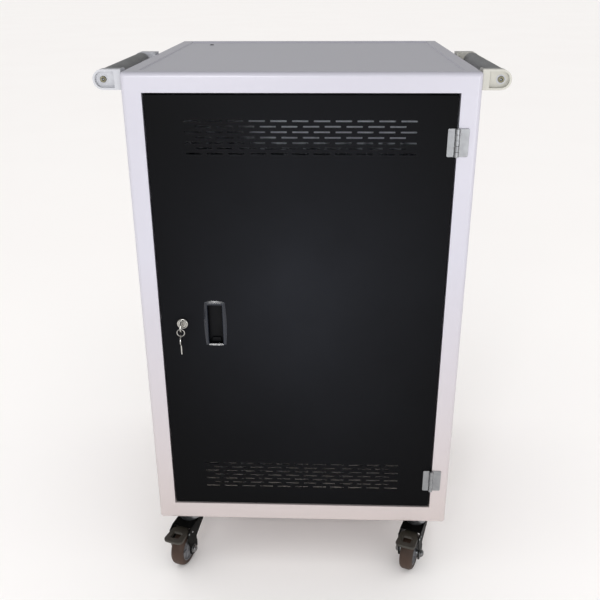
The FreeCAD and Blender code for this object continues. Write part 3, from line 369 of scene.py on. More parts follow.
# Partly painted shade: the bolt heads' dark olive plating is made darker to stand in for the shade round each
# socket.
SHADED_BOLT_FINISH = plated("shaded_bolt_plating", (0.19, 0.18, 0.12), (0.13, 0.12, 0.08), 0.36)
PULL_FINISH = moulded("pull_moulding", (0.006, 0.008, 0.014), (0.010, 0.013, 0.021), 0.20, shine=0.45)
# Painted shade: a darker, duller copy of the pull's plastic for the sunk cup stands in for the shade inside
# it.
SHADED_CUP_FINISH = moulded("shaded_cup_moulding", (0.0030, 0.0032, 0.0040), (0.005, 0.0053, 0.0065), 0.45, shine=0.1)
RIM_FINISH = moulded("outlet_rim_moulding", (0.16, 0.165, 0.175), (0.20, 0.205, 0.215), 0.40)
CAP_FINISH = plated("cap_plating", (0.20, 0.20, 0.20), (0.14, 0.14, 0.14), 0.24)


def dress_nodes():
    for entry in frame["record"]["subparts"]:
        mesh = nodes[entry["node"]].data
        mesh.materials.clear()
        mesh.materials.append(FINISHES[entry["material_slot"]])


# Shapes, drawn in millimetres

MM = 0.001
WELD = 0.0005
CAD_WELD = 1e-5
JOINTS = {joint["name"]: joint for joint in frame["record"]["behaviour"]["joints"]}
UPRIGHT = Matrix.Rotation(math.radians(90), 4, "X")
INWARD = Matrix.Rotation(math.radians(-90), 4, "X")
HALF_TURN = {axis: Matrix.Rotation(math.pi, 4, axis) for axis in "XYZ"}
OUTWARD = Matrix(((0, 0, 1, 0), (1, 0, 0, 0), (0, 1, 0, 0), (0, 0, 0, 1)))
REARWARD = Matrix(((-1, 0, 0, 0), (0, 0, 1, 0), (0, 1, 0, 0), (0, 0, 0, 1)))
SWAP_YZ = Matrix(((1, 0, 0, 0), (0, 0, 1, 0), (0, 1, 0, 0), (0, 0, 0, 1)))


def in_millimetres(point):
    return tuple(round(value / MM, 3) for value in point)


def joint_point(name):
    """A point on a joint's axis at rest."""
    return in_millimetres(JOINTS[name]["pos_m"])


def node_box(name):
    """The lowest and highest corner of a node at rest."""
    low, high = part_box(name)
    return in_millimetres(low), in_millimetres(high)


def middle(low, high):
    return tuple((first + second) / 2 for first, second in zip(low, high))


def even_normals(holder):
    """Keeps flat faces flat where they meet rounded edges."""
    normals = holder.modifiers.new("normals", "WEIGHTED_NORMAL")
    normals.keep_sharp = True


def add_piece(name, mesh, body, slot, *stands_for, finish=None, soft=0):
    holder = bpy.data.objects.new(name, mesh)
    scene.collection.objects.link(holder)
    mesh.materials.clear()
    mesh.materials.append(finish or FINISHES[slot])
    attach(holder, body)
    if stands_for:
        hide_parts(*stands_for)
    if soft:
        round_off(holder, soft)
    else:
        even_normals(holder)
    return holder


def to_mesh(name, shape, matrix=None, sharp=40):
    """Turns a bmesh into a mesh in metres, smooth but for its sharp edges."""
    bmesh.ops.remove_doubles(shape, verts=shape.verts, dist=WELD)
    bmesh.ops.recalc_face_normals(shape, faces=shape.faces)
    if matrix:
        shape.transform(matrix)
    shape.transform(Matrix.Scale(MM, 4))
    mesh = bpy.data.meshes.new(name)
    shape.to_mesh(mesh)
    shape.free()
    mesh.shade_smooth()
    mesh.set_sharp_from_angle(angle=math.radians(sharp))
    return mesh


def turned(profile, sides=48, matrix=None, closed=False):
    """A solid of revolution about z from points of (radius, height)."""
    shape = bmesh.new()
    points = [shape.verts.new((radius, 0, height)) for radius, height in profile]
    lines = [shape.edges.new(pair) for pair in zip(points, points[1:])]
    if closed:
        lines.append(shape.edges.new((points[-1], points[0])))
    bmesh.ops.spin(
        shape, geom=points + lines, cent=(0, 0, 0), axis=(0, 0, 1), angle=math.tau, steps=sides,
        use_merge=True)
    bmesh.ops.remove_doubles(shape, verts=shape.verts, dist=WELD)
    if matrix:
        shape.transform(matrix)
    return shape


def joined(*shapes):
    """One bmesh of several, which are used up."""
    whole = bmesh.new()
    for shape in shapes:
        mesh = bpy.data.meshes.new("part")
        shape.to_mesh(mesh)
        shape.free()
        whole.from_mesh(mesh)
        bpy.data.meshes.remove(mesh)
    return whole


def rounded(points, radii, steps=5):
    """A closed outline whose corners are rounded by arcs."""
    outline = []
    count = len(points)
    for index, radius in enumerate(radii):
        here = Vector(points[index])
        back = (Vector(points[index - 1]) - here).normalized()
        ahead = (Vector(points[(index + 1) % count]) - here).normalized()
        half_angle = back.angle(ahead) / 2
        reach = radius / math.tan(half_angle)
        centre = here + (back + ahead).normalized() * radius / math.sin(half_angle)
        first = here + back * reach - centre
        turn = (math.pi - 2 * half_angle) * (1 if back.cross(ahead) < 0 else -1)
        for step in range(steps + 1):
            angle = turn * step / steps
            outline.append(centre + Matrix.Rotation(angle, 2) @ first)
    return outline


def circle(radius, sides=32):
    turns = [math.tau * step / sides for step in range(sides)]
    return [(radius * math.cos(turn), radius * math.sin(turn)) for turn in turns]


def hexagon(radius, corner):
    return rounded(circle(radius, 6), (corner,) * 6, 2)


def rectangle(half, rise, corner, steps=5):
    return rounded([(-half, -rise), (half, -rise), (half, rise), (-half, rise)], (corner,) * 4, steps)


def pressed(outlines, low, high, round_by, matrix=None):
    """A plate with rounded edges between two heights; outlines after the first are holes."""
    curve = bpy.data.curves.new("outline", "CURVE")
    curve.dimensions = "2D"
    curve.fill_mode = "BOTH"
    curve.extrude = (high - low) / 2 - round_by
    curve.bevel_depth = round_by
    curve.bevel_resolution = 2
    curve.offset = -round_by
    for outline in outlines:
        spline = curve.splines.new("POLY")
        spline.points.add(len(outline) - 1)
        for point, (x, y) in zip(spline.points, outline):
            point.co = (x, y, 0, 1)
        spline.use_cyclic_u = True
    holder = bpy.data.objects.new("outline", curve)
    scene.collection.objects.link(holder)
    filled = holder.evaluated_get(bpy.context.evaluated_depsgraph_get())
    mesh = bpy.data.meshes.new_from_object(filled)
    bpy.data.objects.remove(holder)
    bpy.data.curves.remove(curve)
    shape = bmesh.new()
    shape.from_mesh(mesh)
    bpy.data.meshes.remove(mesh)
    bmesh.ops.remove_doubles(shape, verts=shape.verts, dist=WELD)
    shape.transform(Matrix.Translation((0, 0, (low + high) / 2)))
    if matrix:
        shape.transform(matrix)
    return shape


def round_off(holder, width, segments=3, angle=20):
    bevel = holder.modifiers.new("round", "BEVEL")
    bevel.width = width * MM
    bevel.segments = segments
    bevel.limit_method = "ANGLE"
    bevel.angle_limit = math.radians(angle)
    even_normals(holder)


def soften(width, *names, segments=2, angle=35):
    """Rounds the sharp edges of carried-over pieces."""
    for name in names:
        weld = nodes[name].modifiers.new("weld", "WELD")
        weld.merge_threshold = CAD_WELD
        round_off(nodes[name], width, segments, angle)


# Doors and hinges, each hinge drawn about its pin with the door's face at y = KNUCKLE

KNUCKLE = 4
KNUCKLE_COUNT = 5
KNUCKLE_SKIN = 3.99
KNUCKLE_END = 3.6
KNUCKLE_BORE = 2.1
KNUCKLE_GAP = 0.3
KNUCKLE_ROUND = 0.4
LEAF_GAUGE = 1.6
LEAF_CORNER = 2.6
LEAF_ROUND = 0.45
PIN_CORNER = 0.3
TAB_OVERLAP = 1
TAB_END = 0.5
TAB_ROUND = 0.2
HINGE_HALF = 24.5
DOOR_LEAF = 16.5
FRAME_LEAF = 20
HINGES_LOW, HINGES_HIGH = node_box("front_hinge_door_leaves")
HINGE_LEVELS = (HINGES_HIGH[2] - HINGE_HALF, HINGES_LOW[2] + HINGE_HALF)


def hinge_leaf(width, knuckles):
    """A rolled leaf with rounded corners that lies on the sheet, its knuckles about z."""
    plate = rounded(
        [(-width, -HINGE_HALF), (-KNUCKLE, -HINGE_HALF), (-KNUCKLE, HINGE_HALF), (-width, HINGE_HALF)],
        (LEAF_CORNER, PIN_CORNER, PIN_CORNER, LEAF_CORNER))
    back = LEAF_GAUGE - KNUCKLE
    shapes = [pressed([plate], -KNUCKLE, back, LEAF_ROUND, UPRIGHT)]
    height = 2 * HINGE_HALF / KNUCKLE_COUNT
    start = -KNUCKLE - TAB_OVERLAP
    for knuckle in knuckles:
        low = knuckle * height - HINGE_HALF + KNUCKLE_GAP / 2
        high = low + height - KNUCKLE_GAP
        tab = [(start, low), (-TAB_END, low), (-TAB_END, high), (start, high)]
        shapes.append(pressed([tab], -KNUCKLE, back, TAB_ROUND, UPRIGHT))
        roll = [
            (KNUCKLE_BORE, low), (KNUCKLE_END, low), (KNUCKLE_SKIN, low + KNUCKLE_ROUND),
            (KNUCKLE_SKIN, high - KNUCKLE_ROUND), (KNUCKLE_END, high), (KNUCKLE_BORE, high)]
        shapes.append(turned(roll, 28, closed=True))
    return joined(*shapes)


def hinge_places(joint):
    x, y, _ = joint_point(joint)
    return [Matrix.Translation((x, y, level)) for level in HINGE_LEVELS]


def add_hinges():
    front = hinge_places("front_door_swing")
    rear = hinge_places("rear_door_swing")
    odd = range(1, KNUCKLE_COUNT, 2)
    even = range(0, KNUCKLE_COUNT, 2)
    for name, body, stands_for, width, knuckles, places in (
        ("front_door_hinge_leaves", "front_door_leaf", "front_hinge_door_leaves", DOOR_LEAF, odd, front),
        ("rear_door_hinge_leaves", "rear_door_leaf", "rear_hinge_door_leaves", DOOR_LEAF, odd,
         [place @ HALF_TURN["Z"] for place in rear]),
        ("frame_hinge_leaves", "cabinet", "hinge_frame_leaves", FRAME_LEAF, even,
         [place @ HALF_TURN["Y"] for place in front] + [place @ HALF_TURN["X"] for place in rear]),
    ):
        shapes = []
        for place in places:
            leaf = hinge_leaf(width, knuckles)
            leaf.transform(place)
            shapes.append(leaf)
        add_piece(name, to_mesh(name, joined(*shapes)), body, "zinc_plate", stands_for)


# Locks, drawn about the lock's axis with the door's face at z = 0 and inwards along +z

FRONT_LOCK = joint_point("front_lock_turn")
REAR_LOCK = joint_point("rear_lock_turn")
PLUG_BORE = 6.56
FLANGE_RADIUS = 11
BARREL_RADIUS = 9.5
BARREL_END = 17
BARREL_ROUND = 0.4
NUT_RADIUS = 13
NUT_BORE = 9.6
NUT_CORNER = 0.8
NUT_ROUND = 0.4
NUT_LOW = 1.5
NUT_HIGH = 5.5


def lock_housing():
    """A flanged barrel with a rounded bezel round the plug, from points of (radius, depth)."""
    bezel = [
        (PLUG_BORE, -4.3), (7.2, -4.3), (7.7, -4.75), (8.4, -5), (9.3, -4.9), (10.2, -4.35), (10.8, -3.4)]
    flange = [(FLANGE_RADIUS, -2.4), (FLANGE_RADIUS, -0.4), (FLANGE_RADIUS - 0.3, 0)]
    barrel = [
        (BARREL_RADIUS, 0), (BARREL_RADIUS, BARREL_END - BARREL_ROUND),
        (BARREL_RADIUS - BARREL_ROUND, BARREL_END), (PLUG_BORE, BARREL_END)]
    return turned(bezel + flange + barrel, 48, INWARD, closed=True)


def lock_nut():
    """The hexagonal nut that holds the barrel in the sheet."""
    return pressed([hexagon(NUT_RADIUS, NUT_CORNER), circle(NUT_BORE)], NUT_LOW, NUT_HIGH, NUT_ROUND, INWARD)


def add_locks():
    front = Matrix.Translation(FRONT_LOCK)
    rear = Matrix.Translation(REAR_LOCK) @ HALF_TURN["Z"]
    for end, place in (("front", front), ("rear", rear)):
        name = f"{end}_lock_barrel"
        mesh = to_mesh(name, joined(lock_housing(), lock_nut()), place)
        add_piece(name, mesh, f"{end}_door_leaf", "chrome_trim", f"{end}_lock_housing")


# Recessed pull, drawn about its centre with the door's face at z = 0 and outwards along +z

PULL_LOW, PULL_HIGH = node_box("door_pull")
PULL_X, _, PULL_Z = middle(PULL_LOW, PULL_HIGH)
PULL_HALF = (PULL_HIGH[0] - PULL_LOW[0]) / 2
PULL_RISE = (PULL_HIGH[2] - PULL_LOW[2]) / 2
PULL_BOW = 2.5
RIM_EDGE = 0.9
RIM_HEIGHT = 3
RIM_LIP = 1.4
CUP_HALF = 13.5
CUP_RISE = 40.5
CUP_DROP = 2
CUP_DEPTH = 12
CUP_WALL = 1.6
CUP_CORNER = 3
CUP_MARGIN = 0.02
LEDGE_HALF = 9
LEDGE_LOW = -40
LEDGE_HIGH = -33
LEDGE_HEIGHT = 4
PULL_LAMP = dict(
    place=(-0.65, -3.0, 2.5), target=(-0.16, -0.3, 0.6), size=(2.6, 0.30), power=32, colour=STRIP_COLOUR)


def bowed(left, right, low, high, bow, steps=12):
    """A rectangle whose four sides bow outwards."""
    corners = [(left, low), (right, low), (right, high), (left, high)]
    outline = []
    for index, start in enumerate(corners):
        start = Vector(start)
        run = Vector(corners[(index + 1) % 4]) - start
        out = Vector((run.y, -run.x)).normalized()
        for step in range(steps):
            at = step / steps
            outline.append(start + run * at + out * bow * (1 - (2 * at - 1) ** 2))
    return outline


def lofted(rings):
    """A closed ring of skin through outlines of (points, height), back to the first."""
    shape = bmesh.new()
    loops = [[shape.verts.new((x, y, height)) for x, y in outline] for outline, height in rings]
    for index, loop in enumerate(loops):
        ahead = loops[(index + 1) % len(loops)]
        for at in range(len(loop)):
            after = (at + 1) % len(loop)
            shape.faces.new((loop[at], loop[after], ahead[after], ahead[at]))
    return shape


def sunk(grow, corner):
    """The cup's outline, grown by a wall."""
    half = CUP_HALF + grow
    low, high = -CUP_RISE - grow - CUP_DROP, CUP_RISE + grow - CUP_DROP
    return rounded([(-half, low), (half, low), (half, high), (-half, high)], (corner,) * 4)


def pull_rim():
    """A bowed rim that slopes up to a flat lip round the cup."""
    half, rise = PULL_HALF - PULL_BOW, PULL_RISE - PULL_BOW
    low, high = -CUP_RISE - CUP_DROP, CUP_RISE - CUP_DROP
    outside = bowed(-half, half, -rise, rise, PULL_BOW)
    slope_top = bowed(-half + 3.2, half - 3.2, -rise + 1.2, rise - 3.8, PULL_BOW)
    lip = bowed(-CUP_HALF - 1.2, CUP_HALF + 1.2, low - 2.6, high + 0.8, 0)
    hollow = bowed(-CUP_HALF, CUP_HALF, low, high, 0)
    return lofted((
        (outside, 0), (outside, RIM_EDGE), (slope_top, RIM_HEIGHT), (lip, RIM_HEIGHT), (hollow, RIM_LIP),
        (hollow, 0)))


def pull_cup():
    """The sunk cup with a finger ledge at its lower end."""
    walls = pressed([sunk(CUP_WALL, CUP_CORNER), sunk(-CUP_MARGIN, 0.5)], -CUP_DEPTH, 0, 0.1)
    floor = pressed([sunk(CUP_WALL, CUP_CORNER)], -CUP_DEPTH - CUP_WALL, -CUP_DEPTH, 0.3)
    low = LEDGE_LOW - CUP_DROP
    ledge = rounded(
        [(-LEDGE_HALF, low), (LEDGE_HALF, low), (LEDGE_HALF, LEDGE_HIGH), (-LEDGE_HALF, LEDGE_HIGH)],
        (1, 1, 3, 3))
    return joined(walls, floor, pressed([ledge], -CUP_DEPTH, LEDGE_HEIGHT - CUP_DEPTH, 1))


def add_pull():
    place = Matrix.Translation((PULL_X, FRONT_LOCK[1], PULL_Z)) @ UPRIGHT
    rim = to_mesh("pull_rim", pull_rim(), place, sharp=70)
    holder = add_piece(
        "pull_rim", rim, "front_door_leaf", "black_plastic", "door_pull", finish=PULL_FINISH, soft=0.35)
    lights_only(add_area("pull_strip", **PULL_LAMP), holder)
    cup = to_mesh("pull_cup", pull_cup(), place)
    add_piece("pull_cup", cup, "front_door_leaf", "black_plastic", finish=SHADED_CUP_FINISH)


# Power strips, switch marks and top plug

OUTLET_COUNT = 12
OUTLET_PITCH = 40
OUTLET_HALF = 15
OUTLET_RIM = 3
OUTLET_SINK = 0.2
OUTLET_RISE = 1.4
OUTLET_ROUND = 0.4
ROCKER_RADIUS = 11
ROCKER_TILT = 24
MARK_SINK = 0.3
MARK_RISE = 0.15
MARK_ROUND = 0.05
PLUG_X = -223
PLUG_Y = 244
TRAY_DEPTH = 2


def add_outlets():
    """A raised rim round each sunk outlet of the power strips."""
    outer = OUTLET_HALF + OUTLET_RIM
    outlines = [rectangle(outer, outer, 4), rectangle(OUTLET_HALF, OUTLET_HALF, 1)]
    for tier in ("upper", "lower"):
        low, high = node_box(f"{tier}_power_strip")
        level = middle(low, high)[2]
        shapes = []
        for index in range(OUTLET_COUNT):
            x = (index - (OUTLET_COUNT - 1) / 2) * OUTLET_PITCH
            place = Matrix.Translation((x, high[1], level)) @ REARWARD
            shapes.append(pressed(outlines, -OUTLET_SINK, OUTLET_RISE, OUTLET_ROUND, place))
        name = f"{tier}_outlets"
        add_piece(name, to_mesh(name, joined(*shapes)), "cabinet", "black_plastic", finish=RIM_FINISH)


def add_switch_marks():
    """A raised bar and ring on the two halves of the rocker, drawn on its round face."""
    axis = Matrix.Translation(joint_point("power_switch_rock"))
    bar = [rectangle(0.45, 2.1, 0.5, 2)]
    ring = [circle(2.2), circle(1.4)]
    shapes = []
    for outlines, tilt in ((bar, ROCKER_TILT), (ring, -ROCKER_TILT)):
        turn = Matrix.Rotation(math.radians(-tilt), 4, "Y") @ Matrix.Translation((ROCKER_RADIUS, 0, 0))
        shapes.append(pressed(outlines, -MARK_SINK, MARK_RISE, MARK_ROUND, axis @ turn @ OUTWARD))
    mesh = to_mesh("switch_marks", joined(*shapes))
    add_piece("switch_marks", mesh, "switch_rocker", "bracket_plastic")


def add_top_plug():
    """A low domed plug in the tray of the top panel."""
    profile = [(0, 1.6), (2.4, 1.5), (3.8, 1.1), (4.6, 0.5), (4.8, 0), (3.2, -0.4), (0, -0.4)]
    tray = node_box("top_panel")[1][2] - TRAY_DEPTH
    mesh = to_mesh("top_plug", turned(profile, 32, Matrix.Translation((PLUG_X, PLUG_Y, tray))))
    add_piece("top_plug", mesh, "cabinet", "black_plastic")


# Handles, each bracket drawn about the grip's height with its face at y = 0

BRACKET_LOW, BRACKET_HIGH = node_box("left_handle_front_bracket")
GRIP_FRONT = node_box("left_handle_grip")[0][1]
GRIP_REAR = node_box("left_handle_grip")[1][1]
CABINET_HALF = -BRACKET_HIGH[0]
HANDLE_FRONT = BRACKET_LOW[1]
HANDLE_REAR = node_box("left_handle_rear_bracket")[1][1]
HANDLE_Z = middle(BRACKET_LOW, BRACKET_HIGH)[2]
BRACKET_MARGIN = 0.01
BRACKET_HALF = (BRACKET_HIGH[2] - BRACKET_LOW[2]) / 2 - BRACKET_MARGIN
BRACKET_REACH = 32
BRACKET_DEPTH = HANDLE_REAR - GRIP_REAR
HANDLE_X = CABINET_HALF + BRACKET_REACH
RECESS_ROOT = 12
RECESS_HALF = 13.5
RECESS_DEPTH = 8
BOLT_HOLE = 3.2
FOOT_NEAR = 16
FOOT_FAR = 34
FOOT_GAUGE = 5
FOOT_ROUND = 1.2
BOSS_RADIUS = 13.6
BOSS_END = 30
GRIP_RADIUS = 16
GRIP_WALL = 2
GRIP_ROUND = 0.4
RIB_PITCH = 4.0
RIB_DEPTH = 0.9
RIB_MARGIN = 6
GROOVE_WALL = 0.5
GROOVE_FLOOR = 0.8
RIB_LAND = 1.1
ARC_STEPS = 32
SIDE_STEPS = 10
BACK_STEPS = 12


def ring_of(arc, upper, outer):
    """Points for lofting: half a turn, then one side, the back and the other side."""
    points = [arc(-90 + 180 * step / ARC_STEPS) for step in range(ARC_STEPS)]
    points += [upper(step / SIDE_STEPS) for step in range(SIDE_STEPS)]
    points += [outer(step / BACK_STEPS) for step in range(BACK_STEPS)]
    return points + [(x, -y) for x, y in (upper(1 - step / SIDE_STEPS) for step in range(SIDE_STEPS))]


def about_bolt(radius, angle):
    turn = math.radians(angle)
    return BRACKET_REACH + radius * math.cos(turn), radius * math.sin(turn)


def tongue(root, half):
    """A bar from its root to a round end about the grip's axis."""
    return ring_of(
        lambda angle: about_bolt(half, angle),
        lambda at: (BRACKET_REACH + (root - BRACKET_REACH) * at, half),
        lambda at: (root, half - 2 * half * at))


def bolt_hole():
    return ring_of(
        lambda angle: about_bolt(BOLT_HOLE, angle),
        lambda at: about_bolt(BOLT_HOLE, 90 + 45 * at),
        lambda at: about_bolt(BOLT_HOLE, 135 + 90 * at))


def handle_bracket():
    """A tongue with a recessed face, its foot on the cabinet's side and a boss for the grip."""
    outside, recess, hole = tongue(0, BRACKET_HALF), tongue(RECESS_ROOT, RECESS_HALF), bolt_hole()
    body = lofted((
        (outside, 0), (recess, 0), (recess, RECESS_DEPTH), (hole, RECESS_DEPTH), (hole, BRACKET_DEPTH),
        (outside, BRACKET_DEPTH)))
    body.transform(SWAP_YZ)
    plan = rounded(
        [(FOOT_NEAR, -BRACKET_HALF), (FOOT_FAR, -BRACKET_HALF),
         (FOOT_FAR, BRACKET_HALF), (FOOT_NEAR, BRACKET_HALF)],
        (1, 6, 6, 1))
    foot = pressed([plan], 0.02, FOOT_GAUGE, FOOT_ROUND, OUTWARD)
    start = BRACKET_DEPTH - 1
    boss = turned(
        [(BOLT_HOLE, start), (BOSS_RADIUS, start), (BOSS_RADIUS, BOSS_END - 1), (BOSS_RADIUS - 0.8, BOSS_END),
         (BOLT_HOLE, BOSS_END)],
        40, Matrix.Translation((BRACKET_REACH, 0, 0)) @ INWARD, closed=True)
    return joined(body, foot, boss)


def add_brackets():
    for side, end, x, y, turn, finish in (
        ("right", "front", CABINET_HALF, HANDLE_FRONT, Matrix(), SHADED_BRACKET_FINISH),
        ("left", "front", -CABINET_HALF, HANDLE_FRONT, HALF_TURN["Y"], None),
        ("right", "rear", CABINET_HALF, HANDLE_REAR, HALF_TURN["X"], SHADED_BRACKET_FINISH),
        ("left", "rear", -CABINET_HALF, HANDLE_REAR, HALF_TURN["Z"], None),
    ):
        name = f"{side}_{end}_handle_end"
        mesh = to_mesh(name, handle_bracket(), Matrix.Translation((x, y, HANDLE_Z)) @ turn)
        add_piece(
            name, mesh, "cabinet", "bracket_plastic", f"{side}_handle_{end}_bracket", finish=finish, soft=1.0)


def grip_profile():
    """A tube with grooves between its ribs, from points of (radius, length)."""
    length = GRIP_REAR - GRIP_FRONT
    inner, edge, low = GRIP_RADIUS - GRIP_WALL, GRIP_RADIUS - GRIP_ROUND, GRIP_RADIUS - RIB_DEPTH
    profile = [(inner, 0), (edge, 0), (GRIP_RADIUS, GRIP_ROUND)]
    ribs = int((length - RIB_MARGIN) / RIB_PITCH)
    start = (length - ribs * RIB_PITCH) / 2
    for rib in range(ribs):
        at = start + rib * RIB_PITCH
        floor = at + GROOVE_WALL
        land = floor + GROOVE_FLOOR + GROOVE_WALL
        profile += [(GRIP_RADIUS, at), (low, floor), (low, floor + GROOVE_FLOOR), (GRIP_RADIUS, land)]
        profile.append((GRIP_RADIUS, land + RIB_LAND))
    return profile + [(GRIP_RADIUS, length - GRIP_ROUND), (edge, length), (inner, length)]


def add_grips():
    for side, x in (("left", -HANDLE_X), ("right", HANDLE_X)):
        name = f"{side}_ribbed_grip"
        place = Matrix.Translation((x, GRIP_FRONT, HANDLE_Z)) @ INWARD
        mesh = to_mesh(name, turned(grip_profile(), 40, place, closed=True), sharp=60)
        add_piece(name, mesh, "cabinet", "grip_rubber", f"{side}_handle_grip")


def add_handle_bolts():
    """A pale washer, a dark socket head and a bright domed core at each end of both grips."""
    washer = [(3, 7), (7.6, 7), (8, 7.3), (8, 8), (3, 8)]
    head = [(2.4, 6), (2.4, 4.2), (2.7, 4), (4.9, 4), (5.4, 4.5), (5.5, 5.2), (5.5, 7), (3, 7), (3, 12)]
    core = [(0, 4.4), (0.9, 4.5), (1.7, 4.9), (2.1, 5.5), (2.1, 6.4), (0, 6.4)]
    ends = [
        Matrix.Translation((x, y, HANDLE_Z)) @ inwards
        for x in (-HANDLE_X, HANDLE_X) for y, inwards in ((HANDLE_FRONT, INWARD), (HANDLE_REAR, UPRIGHT))]
    for name, slot, finish, profile, ring, stands_for in (
        ("handle_washers", "bracket_plastic", None, washer, True, ()),
        # the heads' dark olive colour is partly painted shade round the socket
        ("handle_bolt_heads", "zinc_plate", SHADED_BOLT_FINISH, head, True, ("handle_bolts",)),
        ("handle_bolt_cores", "zinc_plate", None, core, False, ()),
    ):
        shapes = [turned(profile, 32, place, closed=ring) for place in ends]
        add_piece(name, to_mesh(name, joined(*shapes)), "cabinet", slot, *stands_for, finish=finish)


# Casters, drawn about the swivel axis with the wheel leading towards -y

CORNERS = ("front_left", "front_right", "rear_left", "rear_right")
BRAKED = ("front_left", "front_right")
SIDES = (-1, 1)
PEDAL_LOW = 85.5
PEDAL_HIGH = 92
PEDAL_ROUND = 1.9
PEDAL_BOSS_HALF = 18.4
PEDAL_BOSS_RADIUS = 4
PEDAL_BOSS_ROUND = 0.5
PIVOT_RADIUS = 2
PIVOT_BORE = 2.1
AXLE_RADIUS = 4
SPACER_START = 15.2
SPACER_BORE = 4.1
SPACER_RADIUS = 7
RIVETS = ((-51, 88, 2.3), (-36, 84, 2.0))
LEG_INNER = 20.5
LEG_OUTER = 23
LEG_ROUND = 0.8
CROWN_TOP = 97.5
CROWN_GAUGE = 3
CROWN_ROUND = 1.2
CAP_NUT_RADIUS = 8.6
CAP_NUT_CORNER = 0.7
CAP_NUT_LOW = 1
CAP_NUT_HIGH = 4.6
HUB_RIBS = 6
HUB_RIB_LOW = 8.4
HUB_RIB_HIGH = 11.6
TYRE_STEPS = 8


def caster_offset(joint):
    """Where a joint lies in a caster: along the way that the wheel leads, and its height."""
    swivel, point = joint_point("front_left_swivel"), joint_point(f"front_left_{joint}")
    return -round(math.dist(swivel[:2], point[:2]), 2), point[2]


AXLE = caster_offset("roll")
PIVOT = caster_offset("brake_press")


def caster_place(corner):
    """The swivel axis at the floor, turned as the wheel's axle is at rest."""
    x, y, _ = joint_point(f"{corner}_swivel")
    axle_x, axle_y, _ = JOINTS[f"{corner}_roll"]["axis"]
    swivel = round(math.degrees(math.atan2(axle_y, axle_x)), 3)
    return Matrix.Translation((x, y, 0)) @ Matrix.Rotation(math.radians(swivel), 4, "Z")


def across(x, y, z, side=1):
    """A frame whose z axis points to a side of the caster, at a point of it."""
    return Matrix.Translation((x, y, z)) @ Matrix.Rotation(math.radians(90 * side), 4, "Y")


def add_caster_piece(corner, kind, shapes, body, slot, *stands_for, finish=None):
    name = f"{corner}_{kind}"
    mesh = to_mesh(name, joined(*shapes), caster_place(corner))
    add_piece(
        name, mesh, f"{corner}_{body}", slot, *(f"{corner}_{node}" for node in stands_for), finish=finish)


def add_pedals():
    """A flared plate with a hole, on a boss about the pivot."""
    outline = rounded(
        [(14, -26), (14, -41), (19.6, -44), (22, -87), (-22, -87), (-19.6, -44), (-14, -41), (-14, -26)],
        (1.5, 3, 5, 9, 9, 5, 3, 1.5))
    hole = rounded([(9, -56), (9, -74), (-9, -74), (-9, -56)], (3, 3, 3, 3))
    face = PEDAL_BOSS_RADIUS - PEDAL_BOSS_ROUND
    end = PEDAL_BOSS_HALF - PEDAL_BOSS_ROUND
    profile = [
        (PIVOT_BORE, -PEDAL_BOSS_HALF), (face, -PEDAL_BOSS_HALF), (PEDAL_BOSS_RADIUS, -end),
        (PEDAL_BOSS_RADIUS, end), (face, PEDAL_BOSS_HALF), (PIVOT_BORE, PEDAL_BOSS_HALF)]
    for corner in BRAKED:
        plate = pressed([outline, hole], PEDAL_LOW, PEDAL_HIGH, PEDAL_ROUND)
        boss = turned(profile, 24, across(0, *PIVOT), closed=True)
        add_caster_piece(corner, "pedal", (plate, boss), "brake", "pedal_steel", "brake_pedal")


def add_forks():
    """Pressed forks: a crown under the race and two broad legs with a rounded end about the axle."""
    leg = rounded(
        [(-40, CROWN_TOP), (22, CROWN_TOP), (20, 84), (-23, 58), (-17, 50), (-17, 23.5), (-50, 23.5),
         (-50, 52), (-57, 80), (-55, 91)],
        (2, 3, 14, 5, 6, 16, 16, 10, 6, 5))
    leg = [(z, y) for y, z in leg]
    crown = rounded(
        [(-LEG_OUTER, -40), (LEG_OUTER, -40), (LEG_OUTER, 22), (-LEG_OUTER, 22)], (3, 3, 16, 16))
    for corner in CORNERS:
        shapes = [pressed([crown], CROWN_TOP - CROWN_GAUGE, CROWN_TOP, CROWN_ROUND)]
        for side in SIDES:
            stand = Matrix(((0, 0, side, 0), (0, 1, 0, 0), (1, 0, 0, 0), (0, 0, 0, 1)))
            shapes.append(pressed([leg], LEG_INNER, LEG_OUTER, LEG_ROUND, stand))
        add_caster_piece(corner, "fork", shapes, "caster", "caster_black", "caster_fork")


def add_fittings():
    """Axle spacers and the rivets on the legs."""
    spacer = [
        (SPACER_BORE, SPACER_START), (SPACER_RADIUS, SPACER_START), (SPACER_RADIUS, LEG_INNER),
        (SPACER_BORE, LEG_INNER)]
    for corner in CORNERS:
        shapes = []
        for side in SIDES:
            shapes.append(turned(spacer, 24, across(0, *AXLE, side), closed=True))
            for y, z, radius in RIVETS if corner in BRAKED else ():
                head = [(radius, -0.6), (radius, 0.4), (radius * 0.8, 1.1), (radius * 0.4, 1.5), (0, 1.6)]
                shapes.append(turned(head, 20, across(side * LEG_OUTER, y, z, side)))
        add_caster_piece(corner, "fittings", shapes, "caster", "zinc_plate")


def pin(radius, half):
    return [(0, -half), (radius, -half), (radius, half), (0, half)]


